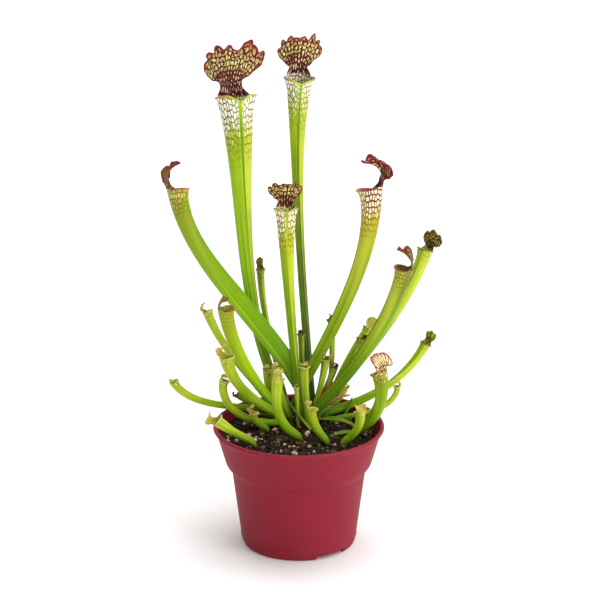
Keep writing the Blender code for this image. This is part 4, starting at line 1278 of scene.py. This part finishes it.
# %% Leaf colours
GREENS = dict(foot=(70, 106, 10), low=(92, 138, 8), middle=(142, 184, 8), high=(176, 202, 20),
    wing=(170, 140, 66), seam=(84, 124, 6), painted_sunlit_side=(204, 212, 66), vein_top=(118, 60, 36),
    wing_to=0.5, seam_width=0.02, ribs=0.3, band=1.9)
WHITE_TOP = dict(GREENS, window=(252, 250, 232), haze=(212, 222, 100), hood=(236, 226, 150),
    hood_top=(220, 176, 116), vein_low=(140, 150, 14), vein_high=(88, 4, 20), vein_strength=1.0,
    margin=(130, 22, 46), window_from=0.82, front_delay=0.08, red_from=0.84, whiteness=1.0,
    width=0.2, stain=0.08)
LOOKS = {
    "tall_left": dict(WHITE_TOP, vein_top=(104, 20, 28), low=(104, 150, 8), middle=(158, 204, 8),
        vein_low=(132, 134, 20)),
    "tall_right": dict(WHITE_TOP, window_from=0.84, low=(62, 100, 4), middle=(126, 158, 8),
        foot=(56, 86, 6), wing=(96, 70, 16)),
    "middle": dict(WHITE_TOP, window_from=0.8, painted_sunlit_side=(200, 208, 44), seam=(190, 190, 30),
        wing=(200, 196, 60), haze=(220, 210, 90), window=(252, 244, 210), hood=(246, 228, 150),
        vein_low=(140, 120, 20), vein_top=(96, 52, 14), vein_high=(88, 26, 12),
        margin=(104, 40, 26)),
    "left_arching": dict(WHITE_TOP, window_from=0.9, window=(224, 206, 120), haze=(180, 180, 50),
        high=(150, 160, 20), hood=(160, 66, 76), hood_top=(146, 46, 62), vein_low=(130, 134, 16),
        wing=(90, 150, 16), seam=(96, 160, 20), low=(112, 166, 20), foot=(84, 132, 14),
        middle=(158, 200, 14), vein_strength=0.8, seam_width=0.05),
    "right_arching": dict(WHITE_TOP, window_from=0.87, front_delay=-0.1, width=0.28,
        low=(108, 148, 6), ribs=0.5, haze=(222, 208, 80), middle=(158, 190, 10),
        high=(190, 176, 34), window=(252, 242, 206), vein_top=(120, 26, 16),
        vein_low=(160, 138, 24), seam=(110, 120, 6), wing=(96, 110, 10)),
    "right_leaning": dict(WHITE_TOP, window_from=0.9, window=(196, 180, 90), haze=(160, 164, 40),
        wing=(176, 20, 6), wing_to=0.16, seam_width=0.06, high=(124, 148, 10), hood=(206, 170, 110),
        hood_top=(190, 90, 90), vein_low=(104, 96, 16), vein_strength=0.8, whiteness=0.5),
    "far_right": dict(WHITE_TOP, window_from=0.97, window=(196, 206, 80), hood=(186, 166, 66),
        hood_top=(150, 120, 50), vein_high=(64, 34, 10), margin=(140, 76, 70), high=(172, 208, 36),
        vein_low=(140, 160, 20), vein_top=(120, 130, 20)),
    "red_hooded": dict(WHITE_TOP, window_from=0.84, whiteness=0.3, high=(170, 184, 20),
        haze=(176, 176, 50), window=(186, 172, 60), middle=(172, 208, 4), low=(128, 178, 4),
        foot=(96, 140, 4), vein_low=(130, 110, 16), vein_top=(116, 66, 26), hood=(150, 56, 56),
        hood_top=(150, 40, 50), vein_strength=0.6),
    "veined_right": dict(WHITE_TOP, window_from=0.9, whiteness=0.8, ribs=1.0, band=1.74,
        window=(226, 216, 130), hood=(246, 232, 170), hood_top=(244, 206, 180), width=0.13,
        vein_low=(120, 110, 20), vein_high=(120, 24, 30), vein_top=(110, 70, 30),
        margin=(156, 20, 44), high=(150, 170, 14)),
    "long_right": dict(WHITE_TOP, window_from=0.97, whiteness=0.5, ribs=0.6, low=(104, 156, 16),
        middle=(150, 196, 20), hood=(190, 170, 60), hood_top=(220, 206, 100),
        vein_high=(104, 80, 16), margin=(190, 160, 70), vein_top=(110, 90, 20)),
}
CLASS_LOOKS = {
    UPPER: dict(WHITE_TOP, window_from=0.84),
    YOUNG: dict(GREENS, foot=(72, 112, 4), low=(104, 150, 4), middle=(150, 188, 8),
        high=(194, 206, 44), window=(230, 224, 140), haze=(206, 212, 100), hood=(222, 220, 112),
        hood_top=(240, 224, 150), vein_low=(140, 156, 30), vein_high=(166, 110, 60),
        vein_strength=0.45, margin=(214, 168, 116), window_from=0.92, front_delay=0.04,
        red_from=0.9, whiteness=0.5, width=0.16, stain=0.15),
    DARK: dict(GREENS, foot=(60, 84, 8), low=(78, 110, 10), middle=(112, 142, 12),
        high=(134, 146, 24), window=(190, 170, 84), haze=(150, 150, 50), hood=(166, 130, 54),
        hood_top=(140, 96, 50), vein_low=(96, 96, 14), vein_high=(70, 34, 18), vein_strength=0.7,
        margin=(104, 56, 34), window_from=0.9, front_delay=0.05, red_from=0.85, whiteness=0.35,
        width=0.2, stain=0.3),
}
leaf_finishes = {key: pitcher_finish("leaf_" + key, look)
                 for key, look in {**LOOKS, **CLASS_LOOKS}.items()}
print(len(leaf_finishes), "pitcher finishes")


# %% Lip finish
def lip_finish(name, front, flank, end):
    """Yellow-green at the front of the mouth, tan at its sides, pinker at the shoulders."""
    finish, tree, shader = new_finish(name, roughness=0.28, coat=0.3)
    _, around = split_uv(tree, "zone")
    from_front = maths(tree, "SUBTRACT", 0.5, away_from(tree, around, 0.5))
    cloud = use_group(tree, mottle_group, Size=220.0)["Cloud"]
    at = maths(tree, "ADD", times(tree, from_front, 3.2), times(tree, cloud, 0.12))
    colour = ramp(tree, at, [(0.12, screen(*front)), (0.45, screen(*flank)),
                             (0.95, screen(*end))])
    tree.links.new(colour, shader.inputs["Base Color"])
    return finish


lip_finishes = {
    UPPER: lip_finish("lip_bright", (176, 206, 20), (176, 152, 60),
                      (150, 92, 62)),
    YOUNG: lip_finish("lip_young", (206, 208, 100), (204, 190, 110),
                      (180, 140, 96)),
    DARK: lip_finish("lip_dark", (120, 104, 30), (112, 76, 40), (96, 40, 30)),
}
RED_LIP = lip_finish("lip_red", (196, 130, 96), (150, 52, 56), (132, 34, 44))
RED_LIPPED = ("left_arching", "right_arching", "right_leaning",
              "red_hooded")
print("lip finishes ready")

# %% [markdown]
# ## All the pitchers
# One loop builds them. The mesh of the net is a few millimetres wide on a large leaf and
# finer on a small one.

# %% Build the pitchers
NET_CELL = {"large": 2.45, "medium": 2.1, "small": 1.8}
SMALL_CELLS = {"left_arching": 1.9, "right_leaning": 1.9,
               "red_hooded": 1.7, "right_arching": 2.25}
for number, leaf in enumerate(PITCHERS):
    finish = leaf_finishes.get(leaf.name, leaf_finishes[leaf.colour])
    lip = RED_LIP if leaf.name in RED_LIPPED else lip_finishes[leaf.colour]
    cell = SMALL_CELLS.get(leaf.name, NET_CELL[leaf.size])
    piece = build_pitcher(leaf, finish, lip, cell, number)
    place(piece, leaf.name + "_pitcher")

# %% [markdown]
# ## Strap leaves
# A few leaves are flat, without a pitcher, and one has dried. Each is a flattened tube with a
# midrib, narrowing to a rounded tip and curling a little at its edges.

# %% Strap leaves
def strap_finish(name, pale, deep, edge):
    """Lengthwise streaks of a pale and a deep colour, and another colour at the edges."""
    finish, tree, shader = new_finish(name, roughness=0.5)
    _, side = split_uv(tree, "zone")
    streak = use_group(tree, streak_group, Count=2.6)["Streak"]
    colour = mix(tree, streak, screen(*pale), screen(*deep))
    near_edge = between(tree, maths(tree, "ABSOLUTE", side), 0.72, 1.0)
    colour = mix(tree, near_edge, colour, screen(*edge))
    tree.links.new(colour, shader.inputs["Base Color"])
    bump = node(tree, "Bump", Height=streak, Strength=0.4, Distance=0.0004)
    tree.links.new(bump.outputs["Normal"], shader.inputs["Normal"])
    return finish


def build_strap(leaf, finish, number):
    """Oval rings along the middle line; width and thickness fall as sqrt(1 - 0.97 share ** 6)."""
    rows, columns = 40, 24
    share = np.linspace(0, 1, rows)
    points, slope = middle_line(leaf, 0.6, share)
    along, face, sideways = frames(leaf, slope, 0.7 * ease(share, 0, 0.5))
    first, last = leaf.half_width
    half = (first + (last - first) * share) * np.sqrt(1 - 0.97 * share ** 6)
    turn = np.linspace(0, tau, columns, endpoint=False)
    thick = 0.55 * np.sqrt(1 - 0.97 * share ** 6)[:, None]
    rib = 0.25 * np.exp(-(np.sin(turn) / 0.25) ** 2)[None, :]
    curl = 0.45 * np.sin(turn)[None, :] ** 2 * ease(share)[:, None]
    ripple = 0.25 * np.sin(9 * share[:, None] + number) * np.sin(turn)[None, :]
    up = (thick + rib) * np.cos(turn)[None, :] + curl + ripple
    grid = (points[:, None] + up[..., None] * face[:, None]
            + (half[:, None] * np.sin(turn))[..., None] * sideways[:, None])
    grid[0, :, 2] = ground(grid[0, :, 0], grid[0, :, 1]) - 0.5
    faces = grid_quads(rows, columns, closed=True).tolist()
    faces += [list(range(columns - 1, -1, -1)), list(range((rows - 1) * columns, rows * columns))]
    wrap = np.append(turn, tau)
    zone = np.stack([np.repeat(share[:, None], columns + 1, 1),
                     np.repeat(np.sin(wrap)[None], rows, 0)], -1)
    net = np.stack([np.repeat(wrap[None], rows, 0) * 1.5 + 7 * number,
                    np.repeat(share[:, None], columns + 1, 1) * leaf.length / 3], -1)
    ends = 2 * columns
    zone = np.concatenate([corners_of(zone).reshape(-1, 2), np.zeros((ends, 2))])
    net = np.concatenate([corners_of(net).reshape(-1, 2), np.zeros((ends, 2))])
    return make_piece(leaf.name, grid.reshape(-1, 3), faces,
                      {"zone": zone, "net": net}, [finish])


strap_finishes = {
    GREEN: strap_finish("strap_green", (116, 160, 24), (78, 120, 12),
                        (130, 130, 40)),
    DRIED: strap_finish("strap_dried", (196, 140, 110), (160, 104, 78),
                        (130, 78, 60)),
}
for number, leaf in enumerate(STRAPS):
    piece = build_strap(leaf, strap_finishes[leaf.colour], number)
    place(piece, leaf.name + "_leaf")
